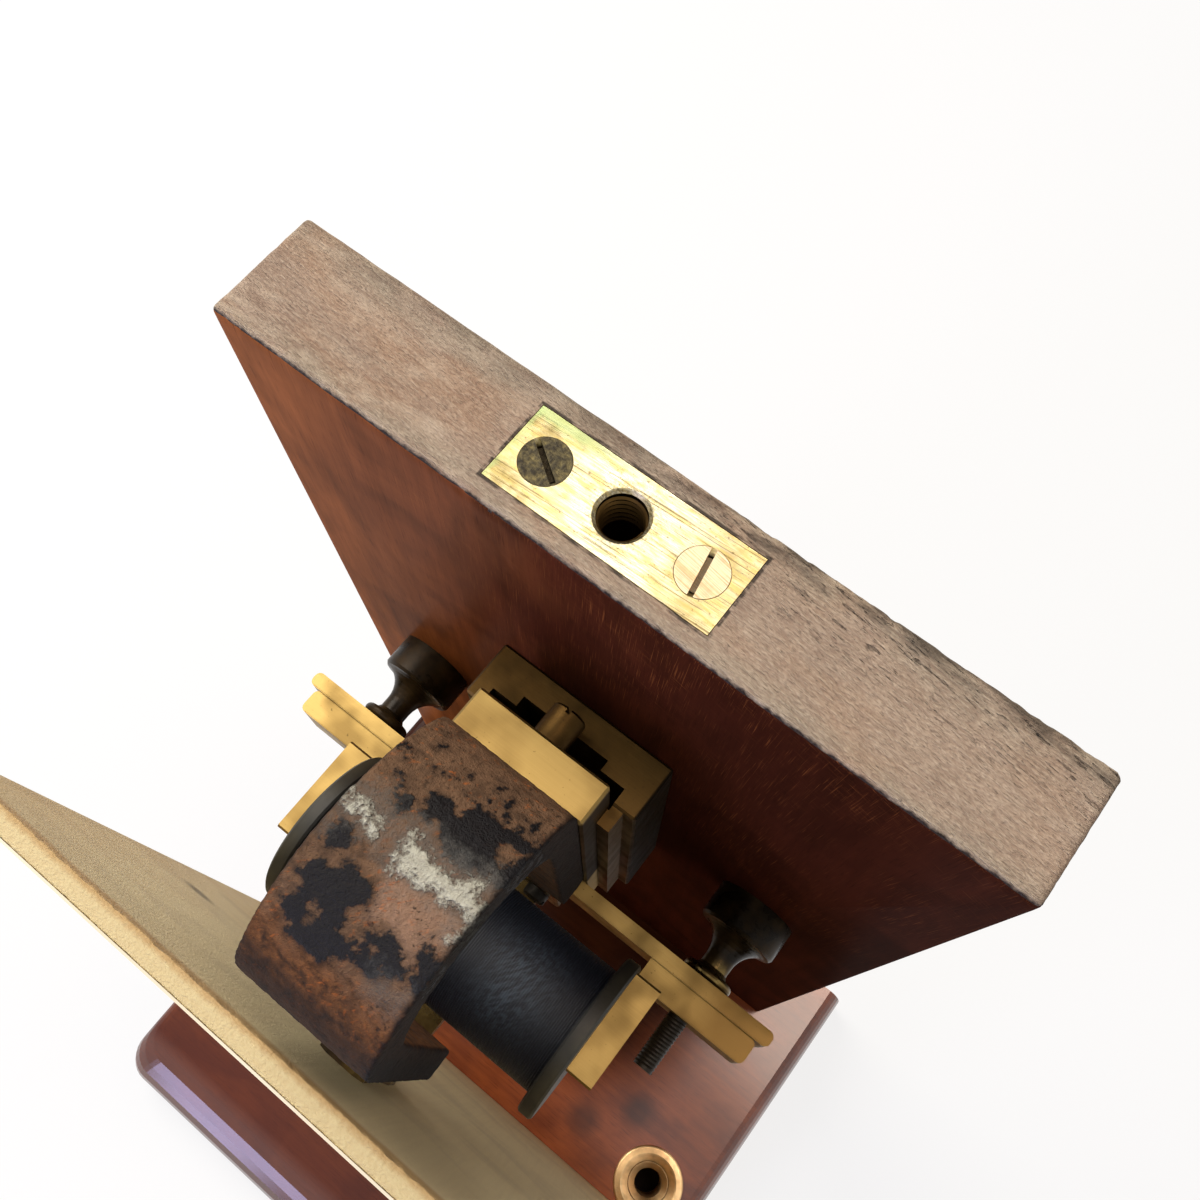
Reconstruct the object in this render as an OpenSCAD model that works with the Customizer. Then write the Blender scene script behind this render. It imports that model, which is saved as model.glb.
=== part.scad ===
// Signal arm repeater for a railway signal box, shown out of its case.
// A polarised needle inside two coils turns a small semaphore arm in front of the dial.
// The origin is the centre of the base's underside. X is the viewer's right when facing
// the dial, Y runs from the dial to the backboard, Z is up. All sizes are in millimetres.

/* [Base] */
// Width of the mahogany base, left to right
base_w = 165; // [160:1:190]
// Depth of the base, front to back
base_d = 151; // [146:1:175]
// Thickness of the base
base_h = 20; // [16:0.5:26]
// Depth of the quarter round along the front edge
base_front_round = 12; // [3:0.5:12]
// Width of the quarter round along the two sides
base_side_round = 5; // [2:0.5:8]
// Radius of the front corners, seen from above
base_corner = 8; // [4:0.5:12]

/* [Shelf screw cups] */
// Distance of each cup from the base's side
cup_side = 17.1; // [15.6:0.1:22]
// Distance of the cups behind the dial board
cup_back = 10.6; // [10.5:0.1:18]
// Diameter of the flange
cup_d = 20.6; // [17:0.2:20.8]
// Height of the flange above the base
cup_h = 1.7; // [1.2:0.1:2.5]
// Diameter of the hole for the shelf screw
cup_bore = 8; // [6:0.1:8.6]
// Outer diameter of the sleeve let into the base
cup_sleeve_d = 11.4; // [11:0.1:13]
// Width of the countersink at the top
cup_sink_d = 15.6; // [13:0.1:16]

/* [Backboard] */
// Width of the backboard
board_w = 127; // [120:1:150]
// Thickness of the backboard
board_t = 19; // [16:0.5:24]
// Height of the backboard above the base
board_h = 254; // [245:1:290]
// Width of the eased edges
board_ease = 0.9; // [0.3:0.1:2]
// Distance between the outer screws that come up through the base
board_screw_pitch = 84; // [60:1:100]

/* [Case nut plate] */
// Length of the brass plate let into the top of the backboard
nut_w = 35; // [33:0.5:42]
// Width of the plate, front to back
nut_d = 12.4; // [11:0.2:13.5]
// Thickness of the plate
nut_t = 5; // [4:0.5:8]
// Offset of the plate from the middle of the backboard
nut_x = -1.4; // [-6:0.2:6]
// Diameter inside the thread for the case screw
nut_bore = 6.7; // [5:0.1:7.4]
// Chamfer at the mouth of the thread
nut_chamfer = 0.5; // [0.2:0.1:0.8]
// Depth of the clearance hole below the plate
nut_well = 18; // [10:1:24]
// Distance between the two wood screws of the plate
nut_screw_pitch = 24.5; // [23.5:0.1:26]
// Diameter of the heads of those screws
nut_screw_head = 7; // [6:0.1:7.4]

/* [Dial] */
// Width of the dial board
dial_w = 152; // [147:1:156]
// Height of the dial board above the base
dial_h = 206; // [196:1:230]
// Thickness of the dial board
dial_t = 3.6; // [3:0.1:6]
// Thickness of the painted sheet on its front
face_t = 0.4; // [0.3:0.1:0.8]
// Depth of the groove in the base that holds the board
dial_groove = 6; // [4:0.5:9]
// Distance from the back of the dial board to the backboard
dial_gap = 69; // [68.6:0.1:72]
// Radius of the hole for the arbor
dial_hole_r = 3.4; // [2.6:0.1:4.2]

/* [Frame] */
// Height of the arbor above the base
arbor_h = 164; // [160:1:168]
// Height of the cross strip
strip_h = 12.6; // [11.6:0.2:13.4]
// Thickness of the cross strip
strip_t = 3.1; // [2.4:0.1:4]
// Length of the cross strip
strip_w = 115; // [112:1:120]
// Distance of the strip's middle line below the arbor
strip_drop = 17.7; // [16.8:0.1:18.4]
// Width of the upright bar behind the magnet
upright_w = 25.4; // [24.4:0.2:26.6]
// Thickness of the upright bar
upright_t = 7.3; // [6:0.1:8]
// Height of the top of the upright above the arbor
upright_rise = 47.7; // [46:0.1:52]
// Depth of the upright below the arbor
upright_foot = 34; // [28:0.5:38]
// Size of the eased edges of the brasswork
brass_ease = 0.4; // [0.2:0.05:0.6]
// Radius of the ends of the strip and of the feet, seen from above
end_round = 1.2; // [0.6:0.1:1.5]

/* [Stand-off bracket] */
// Distance from the backboard to the back of the upright
bracket_d = 10.4; // [10:0.1:13]
// Width across the two arms
bracket_w = 35; // [33.6:0.2:38]
// Height of the top of the arms above the arbor
bracket_rise = 36; // [32:0.5:38]
// Offset of the stepped slot to the left
slot_off = 0.5; // [0:0.1:0.8]
// Width of the shallow step of the slot
slot_wide = 27.2; // [25:0.2:28]
// Depth of the shallow step
slot_wide_d = 3.1; // [2.4:0.1:4]
// Width of the deep step of the slot
slot_narrow = 17.4; // [15:0.2:20]
// Depth of the deep step, from the front of the arms
slot_narrow_d = 5.1; // [4.4:0.1:6]
// Length of the slot, down from the top
slot_l = 44; // [40:0.5:46]
// Width of the two lips beside the upright
lip_w = 2.4; // [1.8:0.1:3]
// Distance that the lips reach forward
lip_d = 3.8; // [3:0.1:5]

/* [Pillars] */
// Distance of each turned pillar from the middle
pillar_x = 41.5; // [40:0.1:44]
// Diameter of the flange against the backboard
pillar_flange = 16.4; // [14:0.2:18]
// Diameter of the neck
pillar_neck = 5.8; // [5.4:0.1:8]
// Diameter of the bead against the strip
pillar_bead = 10.6; // [9:0.2:12]
// Diameter of the long screws through the pillars
stud_d = 4; // [3:0.1:4.4]
// Length of screw that stands out of the coil bracket
stud_out = 11.4; // [6:0.1:12]

/* [Magnet] */
// Width of the horseshoe magnet, left to right
magnet_w = 24.8; // [22:0.2:25]
// Depth over both legs
magnet_d = 45.2; // [44.4:0.1:46.2]
// Thickness of the steel
magnet_t = 6.35; // [5.6:0.05:7]
// Height from the poles to the crown
magnet_h = 74.5; // [72:0.5:80]
// Rise of the arch above the straight legs
magnet_arch = 16; // [15:0.5:19]
// Radius of the shoulders of the arch
magnet_shoulder = 10.5; // [9:0.5:12]
// Distance of the poles below the arbor
pole_drop = 8; // [7:0.1:9]
// Radius of the holes for the arbor
magnet_hole_r = 3.2; // [2.6:0.1:4]
// Distance of the magnet's screw below the top of the upright
magnet_screw_drop = 5.2; // [4:0.1:8]

/* [Coils] */
// Clearance between the cheeks and the magnet's legs
cheek_clear = 0.3; // [0.2:0.05:1]
// Thickness of a bobbin's cheek
cheek_t = 2.9; // [2:0.1:3.6]
// Thickness of the thin cheek beside the arbor
inner_cheek_t = 1.2; // [0.8:0.1:2]
// Depth of the winding below the edge of the outer cheek
winding_drop = 3.3; // [1:0.1:4]
// Distance of each coil's outer end from the middle
coil_out = 31; // [30:0.1:34]
// Half the gap between the two coils
coil_in = 2.2; // [2.1:0.1:3]
// Diameter of the iron cores and of the space for the needle
core_d = 14; // [13.6:0.2:16]
// Half the space between the two cores
core_in = 5; // [4.4:0.1:8]
// Wall of the bobbin's tube
tube_wall = 1; // [0.8:0.1:1.6]

/* [Coil brackets] */
// Thickness of the brass of the coil brackets
coil_bracket_t = 5.2; // [4.6:0.1:6]
// Distance that the arm reaches past the coil's axis
coil_bracket_over = 5.8; // [5:0.1:8]
// Height of the arm above the coil's axis
coil_bracket_top = 6.4; // [5.6:0.1:9]
// Distance of the foot's outer end from the middle
coil_bracket_out = 55.5; // [52:0.5:56]
// Diameter of the riveted end of the core
rivet_d = 6; // [4:0.1:7]

/* [Bearing yoke] */
// Width of the yoke under the coils
yoke_w = 12; // [11:0.5:13]
// Width of the front limb at its top
yoke_top_w = 10; // [9:0.2:10.8]
// Width of the yoke where it is screwed to the strip
yoke_back_w = 20; // [19:0.5:22]
// Thickness of the yoke
yoke_t = 3; // [2.4:0.1:3.4]
// Depth of the yoke below the arbor
yoke_drop = 24; // [23:0.5:26]
// Height of the front limb above the arbor
yoke_front_rise = 6; // [4:0.5:7]
// Distance between the two frame screws
frame_screw_pitch = 11; // [10:0.2:14]
// Distance of the upper dial screw below the arbor
dial_screw_drop = 7.5; // [7:0.1:8.5]
// Distance between the two dial screws
dial_screw_pitch = 10; // [8:0.1:11]

/* [Arbor and needle] */
// Diameter of the arbor between the bearings
arbor_d = 3; // [2.6:0.1:3.2]
// Diameter of the two journals
journal_d = 2.2; // [2:0.1:2.4]
// Radial clearance of the journals
journal_clear = 0.05; // [0.03:0.01:0.08]
// End shake at each shoulder
end_shake = 0.25; // [0.15:0.05:0.4]
// Length of the needle
needle_l = 12; // [10:0.2:12.2]
// Distance that the needle hangs lower than it stands up, which brings the arm back
needle_low = 0.3; // [0.1:0.05:0.4]
// Thickness of the needle
needle_t = 2; // [1.4:0.1:2.4]
// Width of the needle, front to back
needle_w = 5; // [4:0.2:5.4]
// Diameter of the needle's hub
needle_hub_d = 5; // [4.4:0.1:5.6]

/* [Signal arm] */
// Angle of the arm below level when no current flows
arm_droop = 20; // [15:1:25]
// Travel of the arm to each side of that place
arm_travel = 20; // [16:1:21]
// Length of the arm from the arbor
arm_l = 58; // [50:1:64]
// Width of the arm at its tip
arm_tip_w = 14; // [12:0.2:16]
// Width of the arm at the arbor
arm_root_w = 11; // [10:0.2:12]
// Thickness of the arm
arm_t = 0.6; // [0.5:0.1:0.8]
// Length of the tail behind the arbor
arm_tail = 24; // [22:0.2:26]
// Gap between the dial's face and the arm
arm_gap = 2.6; // [2:0.1:3.4]
// Diameter of the collet's flange
collet_d = 9.4; // [8.6:0.1:9.8]
// Diameter of the balance weight on the tail
weight_d = 12; // [11:0.1:12.6]
// Length of the balance weight
weight_l = 1.807; // [1.6:0.001:2.2]
// Diameter of the stop pins
pin_d = 1.8; // [1.4:0.1:2.2]
// Distance of the stop pins from the arbor
pin_reach = 24; // [20:0.5:30]

/* [Hidden] */

$fn = 64;

// Clearance round a screw in its hole, on the radius
hole_clear = 0.1;
// Clearance of a piece of wood or metal let into wood
let_in = 0.1;
// What a cut runs past the face that it opens
past = 1;

// The planes of the assembly, from the shelf upwards and from the backboard forwards
arbor_z = base_h + arbor_h;
strip_z = arbor_z - strip_drop;
cup_x = base_w / 2 - cup_side;
pole_z = arbor_z - pole_drop;
crown_z = pole_z + magnet_h;
upright_top = arbor_z + upright_rise;
upright_low = arbor_z - upright_foot;
board_face = base_d / 2 - board_t;
upright_back = board_face - bracket_d;
upright_face = upright_back - upright_t;
strip_face = upright_face - strip_t;
coil_y = upright_face - magnet_d / 2;
dial_back = board_face - dial_gap;
dial_front = dial_back - dial_t;
face_front = dial_front - face_t;
arm_back = face_front - arm_gap;
arm_front = arm_back - arm_t;
pillar_l = board_face - upright_face;

// The coils fill the space between the magnet's legs
cheek_r = magnet_d / 2 - magnet_t - cheek_clear;
winding_r = cheek_r - winding_drop;
tube_r = core_d / 2 + tube_wall;

// Screws: wood screws, machine screws and their slots
wood_screw_d = 4.4;
wood_head_d = 8.4;
board_screw_l = 32;
nut_screw_d = 3.6;
nut_screw_l = 15;
frame_screw_d = 3;
frame_head_d = 5;
frame_head_h = 2.2;
magnet_screw_d = 4;
magnet_head_d = 6.2;
magnet_head_h = 6.2;
dial_screw_d = 2.4;
dial_screw_head = 4.4;
stud_head_d = 7;
stud_head_h = 2.6;
washer_d = 9.4;
washer_t = 0.8;
counterbore_h = 4.4;
head_side_gap = 0.6;
slot_cut = 0.8;
slot_cut_depth = 1;
sink_below = 0.3;
csk_slope = 1.05;

// Points along an arc in the plane of the outline, from angle a to angle b
function arc(centre, r, a, b, n = 10) =
    [for (i = [0:n]) let (t = a + (b - a) * i / n) centre + r * [cos(t), sin(t)]];

// A block with eased edges, as three eased prisms that cross
module eased_block(size, ease) {
    function eased(a, b) = [
        [ease, 0], [a - ease, 0], [a, ease], [a, b - ease],
        [a - ease, b], [ease, b], [0, b - ease], [0, ease]];
    intersection() {
        linear_extrude(size.z) polygon(eased(size.x, size.y));
        translate([0, size.y, 0]) rotate([90, 0, 0])
            linear_extrude(size.y) polygon(eased(size.x, size.z));
        rotate([90, 0, 90]) linear_extrude(size.x) polygon(eased(size.y, size.z));
    }
}

// A flat bar from x0 to x1 with its far end rounded in plan, easing on top and bottom
module rounded_bar(x0, x1, y0, y1, z0, z1, r, both = false) {
    function plan(e) = concat(
        arc([x1 - r, y1 - r], r - e, 90, 0, 4), arc([x1 - r, y0 + r], r - e, 0, -90, 4),
        both ? arc([x0 + r, y0 + r], r - e, -90, -180, 4) : [[x0, y0 + e]],
        both ? arc([x0 + r, y1 - r], r - e, 180, 90, 4) : [[x0, y1 - e]]);
    e = brass_ease / 2;
    translate([0, 0, z0]) linear_extrude(z1 - z0 - e) polygon(plan(0));
    translate([0, 0, z1 - e - 0.01]) linear_extrude(e + 0.01) polygon(plan(e));
}

// The same, placed by its low and high corner
module eased_between(low, high, ease) {
    translate(low) eased_block(high - low, ease);
}

// A cylinder whose axis runs along Y, from y0 to y1
module along_y(r, y0, y1) {
    translate([0, y1, 0]) rotate([90, 0, 0]) cylinder(r = r, h = y1 - y0);
}

// Countersunk screw, pointing down, with the top of its head at the origin
module sunk_screw(head_d, shank_d, length, turn = 0) {
    cone = (head_d - shank_d) / 2 * csk_slope;
    point = shank_d;
    difference() {
        union() {
            translate([0, 0, -cone]) cylinder(d1 = shank_d, d2 = head_d, h = cone);
            translate([0, 0, point - length]) cylinder(d = shank_d, h = length - point - cone);
            translate([0, 0, -length]) cylinder(d1 = shank_d / 4, d2 = shank_d, h = point);
        }
        rotate([0, 0, turn]) translate([-head_d, -slot_cut / 2, -slot_cut_depth])
            cube([2 * head_d, slot_cut, slot_cut_depth + past]);
    }
}

// The hole for such a screw, open upwards by more
module sunk_hole(head_d, shank_d, length, more = 0) {
    cone = (head_d - shank_d) / 2 * csk_slope;
    r = shank_d / 2 + hole_clear;
    translate([0, 0, -cone]) cylinder(r1 = r, r2 = head_d / 2 + hole_clear, h = cone);
    translate([0, 0, -length - hole_clear]) cylinder(r = r, h = length + hole_clear - cone / 2);
    if (more > 0) cylinder(r = head_d / 2 + hole_clear, h = more);
}

// Cheese head screw, pointing down, with its seat at the origin
module cheese_screw(head_d, head_h, shank_d, length, turn = 0) {
    difference() {
        union() {
            cylinder(d = head_d, h = head_h - brass_ease);
            translate([0, 0, head_h - brass_ease])
                cylinder(d1 = head_d, d2 = head_d - 2 * brass_ease, h = brass_ease);
            translate([0, 0, -length]) cylinder(d = shank_d, h = length);
        }
        rotate([0, 0, turn]) translate([-head_d, -slot_cut / 2, head_h - slot_cut_depth])
            cube([2 * head_d, slot_cut, slot_cut_depth + past]);
    }
}

// Places of the parts that repeat
module at_nut_screws() {
    for (s = [-1, 1])
        translate([nut_x + s * nut_screw_pitch / 2, board_face + board_t / 2, base_h + board_h])
            children();
}

module at_board_screws() {
    for (x = [-1, 0, 1]) translate([x * board_screw_pitch / 2, board_face + board_t / 2, 0])
        rotate([180, 0, 0]) children();
}

module at_frame_screws(y) {
    for (s = [-1, 1]) translate([s * frame_screw_pitch / 2, y, strip_z])
        rotate([90, 0, 0]) children();
}

module at_bracket_screws(y) {
    for (z = bracket_screw_z) translate([0, y, z]) rotate([90, 0, 0]) children();
}

module at_dial_screws(y) {
    for (i = [0, 1]) translate([0, y, arbor_z - dial_screw_drop - i * dial_screw_pitch])
        rotate([90, 0, 0]) children();
}

// Base: a board with a quarter round on its front and sides, square at the back
module base() {
    slices = 6;
    plain_h = base_h - base_front_round;
    color("sienna") difference() {
        hull() for (i = [0:slices]) {
            a = 90 * i / slices;
            front = base_front_round * (1 - cos(a));
            side = base_side_round * (1 - cos(a));
            translate([0, 0, i == 0 ? 0 : plain_h])
                linear_extrude(i == 0 ? plain_h : base_front_round * sin(a))
                    base_outline(side, front);
        }
        translate([-base_w, dial_front - face_t - let_in, base_h - dial_groove - let_in])
            groove_length();
        for (s = [-1, 1]) translate([s * cup_x, dial_back + cup_back, -past])
            cylinder(d = cup_sleeve_d + 2 * let_in, h = base_h + 2 * past);
        at_board_screws() translate([0, 0, -sink_below])
            sunk_hole(wood_head_d, wood_screw_d, board_screw_l, past);
    }
}

module base_outline(side, front) {
    x = base_w / 2 - side;
    y0 = -base_d / 2 + front;
    r = base_corner;
    polygon(concat(
        [[x, base_d / 2], [-x, base_d / 2]],
        arc([-x + r, y0 + r], r, 180, 270, 8),
        arc([x - r, y0 + r], r, 270, 360, 8)));
}

// The groove stops short of the sides of the base
module groove_length() {
    translate([base_w - dial_w / 2 - let_in, 0, 0])
        cube([dial_w + 2 * let_in, dial_t + face_t + 2 * let_in, dial_groove + let_in + past]);
}

// Screw cups: a domed flange, a countersink and a sleeve through the base
module screw_cup() {
    low = sink_below;
    rim = cup_h - 0.6;
    sink = (cup_sink_d - cup_bore) / 2 * 0.9;
    translate([0, dial_back + cup_back, 0]) rotate_extrude() polygon(concat(
        [[cup_bore / 2, low], [cup_sleeve_d / 2, low], [cup_sleeve_d / 2, base_h],
         [cup_d / 2, base_h], [cup_d / 2, base_h + rim / 2]],
        arc([cup_d / 2 - rim / 2 - 0.3, base_h + rim / 2], rim / 2 + 0.3, 0, 90, 6),
        [[cup_sink_d / 2 + 0.4, base_h + cup_h], [cup_sink_d / 2, base_h + cup_h - 0.2],
         [cup_bore / 2, base_h + cup_h - sink]]));
}

module left_screw_cup() {
    color("goldenrod") translate([-cup_x, 0, 0]) screw_cup();
}

module right_screw_cup() {
    color("goldenrod") translate([cup_x, 0, 0]) screw_cup();
}

// Backboard: polished mahogany, drilled for everything that it carries
module backboard() {
    top = base_h + board_h;
    mid = board_face + board_t / 2;
    color("saddlebrown") difference() {
        eased_between([-board_w / 2, board_face, base_h],
                      [board_w / 2, board_face + board_t, top], board_ease);
        translate([nut_x - nut_w / 2 - let_in, mid - nut_d / 2 - let_in, top - nut_t])
            cube([nut_w + 2 * let_in, nut_d + 2 * let_in, nut_t + past]);
        translate([nut_x, mid, top - nut_t - nut_well])
            cylinder(d = nut_bore + 2, h = nut_well + past);
        at_nut_screws() translate([0, 0, -nut_screw_l - hole_clear])
            cylinder(d = nut_screw_d + 2 * hole_clear, h = nut_screw_l);
        at_board_screws() translate([0, 0, -sink_below])
            sunk_hole(wood_head_d, wood_screw_d, board_screw_l);
        for (s = [-1, 1]) translate([s * pillar_x, 0, strip_z]) {
            along_y(stud_d / 2 + hole_clear, board_face - past, board_face + board_t);
            along_y(washer_d / 2 + let_in, board_face + board_t - counterbore_h,
                    board_face + board_t + past);
        }
        at_bracket_screws(board_face - bracket_web)
            sunk_hole(bracket_head_d, bracket_screw_d, bracket_screw_l);
    }
}

module backboard_screws() {
    color("darkgoldenrod") at_board_screws() translate([0, 0, -sink_below])
        sunk_screw(wood_head_d, wood_screw_d, board_screw_l, 30);
}

// Nut plate for the screw that holds the case
module nut_plate() {
    top = base_h + board_h;
    mid = board_face + board_t / 2;
    color("gold") difference() {
        translate([nut_x - nut_w / 2, mid - nut_d / 2, top - nut_t]) cube([nut_w, nut_d, nut_t]);
        translate([nut_x, mid, top - nut_t - past]) cylinder(d = nut_bore, h = nut_t + 2 * past);
        translate([nut_x, mid, top - nut_chamfer])
            cylinder(d1 = nut_bore, d2 = nut_bore + 2 * nut_chamfer, h = nut_chamfer);
        at_nut_screws() sunk_hole(nut_screw_head, nut_screw_d, nut_screw_l);
    }
}

module nut_plate_screws() {
    color("khaki") at_nut_screws() sunk_screw(nut_screw_head, nut_screw_d, nut_screw_l, 100);
}

// Dial: a board that stands in the base's groove, with a thin painted sheet on its front
module dial_sheet(y0, y1) {
    difference() {
        translate([-dial_w / 2, y0, base_h - dial_groove])
            cube([dial_w, y1 - y0, dial_h + dial_groove]);
        translate([0, 0, arbor_z]) along_y(dial_hole_r, y0 - past, y1 + past);
        for (a = stop_angles)
            translate([-pin_reach * cos(a), 0, arbor_z + pin_reach * sin(a)])
                along_y(pin_d / 2, y0 - past, dial_back - pin_skin);
        at_dial_screws(face_front + sink_below)
            sunk_hole(dial_screw_head, dial_screw_d, dial_screw_l, past);
    }
}

module dial_board() {
    color("wheat") dial_sheet(dial_front, dial_back);
}

module dial_face() {
    color("ivory") dial_sheet(face_front, dial_front);
}

module dial_screws() {
    color("goldenrod") at_dial_screws(face_front + sink_below)
        sunk_screw(dial_screw_head, dial_screw_d, dial_screw_l, 15);
}

// Upright bar: holds the magnet and the arbor's rear bearing, the bracket holds its back
module upright_bar() {
    color("goldenrod") difference() {
        eased_between([-upright_w / 2, upright_face, upright_low],
                      [upright_w / 2, upright_back, upright_top], brass_ease);
        translate([0, 0, magnet_screw_z]) along_y(magnet_screw_d / 2 + hole_clear,
            upright_face - past, upright_back + past);
        translate([0, 0, arbor_z])
            along_y(journal_d / 2 + journal_clear, upright_face - past, upright_back + past);
        at_frame_screws(strip_face - yoke_t) mirror([0, 0, 1])
            cylinder(d = frame_screw_d + 2 * hole_clear, h = frame_screw_l + hole_clear);
    }
}

// Cross strip: carries the coil brackets on its front and stands on the two pillars
module cross_strip() {
    color("goldenrod") difference() {
        rounded_bar(-strip_w / 2, strip_w / 2, strip_face, upright_face,
                    strip_z - strip_h / 2, strip_z + strip_h / 2, end_round, true);
        for (s = [-1, 1]) translate([s * pillar_x, 0, strip_z])
            along_y(stud_d / 2 + hole_clear, strip_face - past, upright_face + past);
        at_frame_screws(strip_face - yoke_t) mirror([0, 0, 1])
            cylinder(d = frame_screw_d + 2 * hole_clear, h = frame_screw_l + hole_clear);
    }
}

// Two long screws hold the yoke, the strip and the upright to the bracket
module frame_screws() {
    color("darkkhaki") at_frame_screws(strip_face - yoke_t)
        cheese_screw(frame_head_d, frame_head_h, frame_screw_d, frame_screw_l, 20);
}

// Stand-off bracket: a casting with a stepped slot behind the upright and a lip at each side
module stand_off_bracket() {
    top = arbor_z + bracket_rise;
    lip_x = upright_w / 2 + hole_clear;
    color("peru") difference() {
        union() {
            eased_between([-bracket_w / 2, upright_back, upright_low],
                          [bracket_w / 2, board_face, top], brass_ease);
            for (s = [0, 1]) mirror([s, 0, 0])
                translate([lip_x, upright_back - lip_d, upright_low + brass_ease])
                    cube([lip_w, lip_d + brass_ease, top - upright_low - 3 * brass_ease]);
        }
        translate([-slot_wide / 2 - slot_off, upright_back - past, top - slot_l])
            cube([slot_wide, slot_wide_d + past, slot_l + past]);
        translate([-slot_narrow / 2 - slot_off, upright_back - past, top - slot_l])
            cube([slot_narrow, slot_narrow_d + past, slot_l + past]);
        at_frame_screws(strip_face - yoke_t) mirror([0, 0, 1])
            cylinder(d = frame_screw_d + 2 * hole_clear, h = frame_screw_l + hole_clear);
        at_bracket_screws(board_face - bracket_web)
            sunk_hole(bracket_head_d, bracket_screw_d, bracket_screw_l, bracket_d);
    }
}

module bracket_screws() {
    color("darkkhaki") at_bracket_screws(board_face - bracket_web)
        sunk_screw(bracket_head_d, bracket_screw_d, bracket_screw_l, 60);
}

// Turned pillar between the backboard and the strip: bead, neck, cove and foot
module pillar() {
    bore = stud_d / 2 + hole_clear;
    neck_r = pillar_neck / 2;
    rim_r = pillar_flange / 2;
    bead_l = 2.2;
    cove_start = 5;
    cove_end = 10.4;
    cove_r = rim_r - 0.5 - neck_r;
    outline = concat(
        [[bore, 0]],
        arc([pillar_bead / 2 - bead_l / 2, bead_l / 2], bead_l / 2, -70, 70, 6),
        [[neck_r + 0.5, bead_l + 0.2], [neck_r, bead_l + 0.9]],
        [for (i = [0:8]) let (t = 90 * i / 8)
            [neck_r + cove_r * (1 - cos(t)), cove_start + (cove_end - cove_start) * sin(t)]],
        [[rim_r, cove_end + 0.6], [rim_r, pillar_l], [bore, pillar_l]]);
    translate([0, upright_face, strip_z]) rotate([-90, 0, 0]) rotate_extrude() polygon(outline);
}

module left_pillar() {
    color("darkgoldenrod") translate([-pillar_x, 0, 0]) pillar();
}

module right_pillar() {
    color("darkgoldenrod") translate([pillar_x, 0, 0]) pillar();
}

// Long screw from the back of the backboard, through pillar, strip and coil bracket
module stud() {
    seat = board_face + board_t - counterbore_h + washer_t;
    tip = strip_face - coil_bracket_t - stud_out;
    translate([0, seat, strip_z]) rotate([-90, 0, 0])
        cheese_screw(stud_head_d, stud_head_h, stud_d, seat - tip, 70);
}

module left_stud() {
    color("dimgray") translate([-pillar_x, 0, 0]) stud();
}

module right_stud() {
    color("dimgray") translate([pillar_x, 0, 0]) stud();
}

module stud_washers() {
    y = board_face + board_t - counterbore_h;
    color("goldenrod") for (s = [-1, 1]) translate([s * pillar_x, 0, strip_z]) difference() {
        along_y(washer_d / 2, y, y + washer_t);
        along_y(stud_d / 2 + hole_clear, y - past, y + washer_t + past);
    }
}

// Horseshoe magnet: outside a flat arch with tight shoulders, inside a half round
module magnet() {
    half = magnet_d / 2;
    inner = half - magnet_t;
    crown_r = (half * half + magnet_arch * magnet_arch - 2 * half * magnet_shoulder)
        / (2 * (magnet_arch - magnet_shoulder));
    turn = atan2(crown_r - magnet_arch, half - magnet_shoulder);
    spring = crown_z - magnet_arch;
    right = arc([half - magnet_shoulder, spring], magnet_shoulder, 0, turn, 8);
    crown = arc([0, crown_z - crown_r], crown_r, turn, 180 - turn, 16);
    left = [for (p = reversed(right)) [-p.x, p.y]];
    inside = arc([0, crown_z - magnet_t - inner], inner, 180, 0, 24);
    color("rosybrown") difference() {
        translate([-magnet_w / 2, coil_y, 0]) rotate([90, 0, 90]) linear_extrude(magnet_w)
            polygon(concat([[half, pole_z]], right, crown, left, [[-half, pole_z]],
                           [[-inner, pole_z]], inside, [[inner, pole_z]]));
        translate([0, 0, magnet_screw_z]) along_y(magnet_screw_d / 2 + hole_clear,
            upright_face - magnet_t - past, upright_face + past);
        translate([0, 0, arbor_z])
            along_y(magnet_hole_r, coil_y - half - past, upright_face + past);
    }
}

function reversed(list) = [for (i = [len(list) - 1:-1:0]) list[i]];

module magnet_screw() {
    color("peru") translate([0, upright_back, magnet_screw_z]) rotate([-90, 0, 0])
        cheese_screw(magnet_head_d, magnet_head_h, magnet_screw_d,
                     upright_t + magnet_t - sink_below, 90);
}

// Coil bracket: a tall arm beside the coil and a low foot on the strip
module coil_bracket() {
    foot_back = strip_face;
    foot_front = foot_back - coil_bracket_t;
    low = strip_z - strip_h / 2 + 0.4;
    foot_top = strip_z + strip_h / 2 - 0.8;
    tip = coil_y - coil_bracket_over;
    top = arbor_z + coil_bracket_top;
    color("gold") difference() {
        union() {
            rounded_bar(coil_out, coil_bracket_out, foot_front, foot_back,
                        low, foot_top, end_round);
            translate([coil_out, 0, 0]) rotate([90, 0, 90]) linear_extrude(coil_bracket_t)
                polygon([[foot_front + 1, low], [foot_front + 1, foot_top], [foot_front, foot_top],
                         [foot_front, top - brass_ease], [foot_front - brass_ease, top],
                         [tip + brass_ease, top], [tip, top - brass_ease],
                         [tip, arbor_z - coil_bracket_top], [tip + 6, arbor_z - coil_bracket_top - 2],
                         [foot_front - 4, low]]);
        }
        translate([pillar_x, 0, strip_z])
            along_y(stud_d / 2 + hole_clear, foot_front - past, foot_back + past);
        translate([coil_out - past, coil_y, arbor_z]) rotate([0, 90, 0])
            cylinder(d = rivet_d + 2 * hole_clear, h = coil_bracket_t + 2 * past);
    }
}

module left_coil_bracket() {
    mirror([1, 0, 0]) coil_bracket();
}

module right_coil_bracket() {
    coil_bracket();
}

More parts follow.
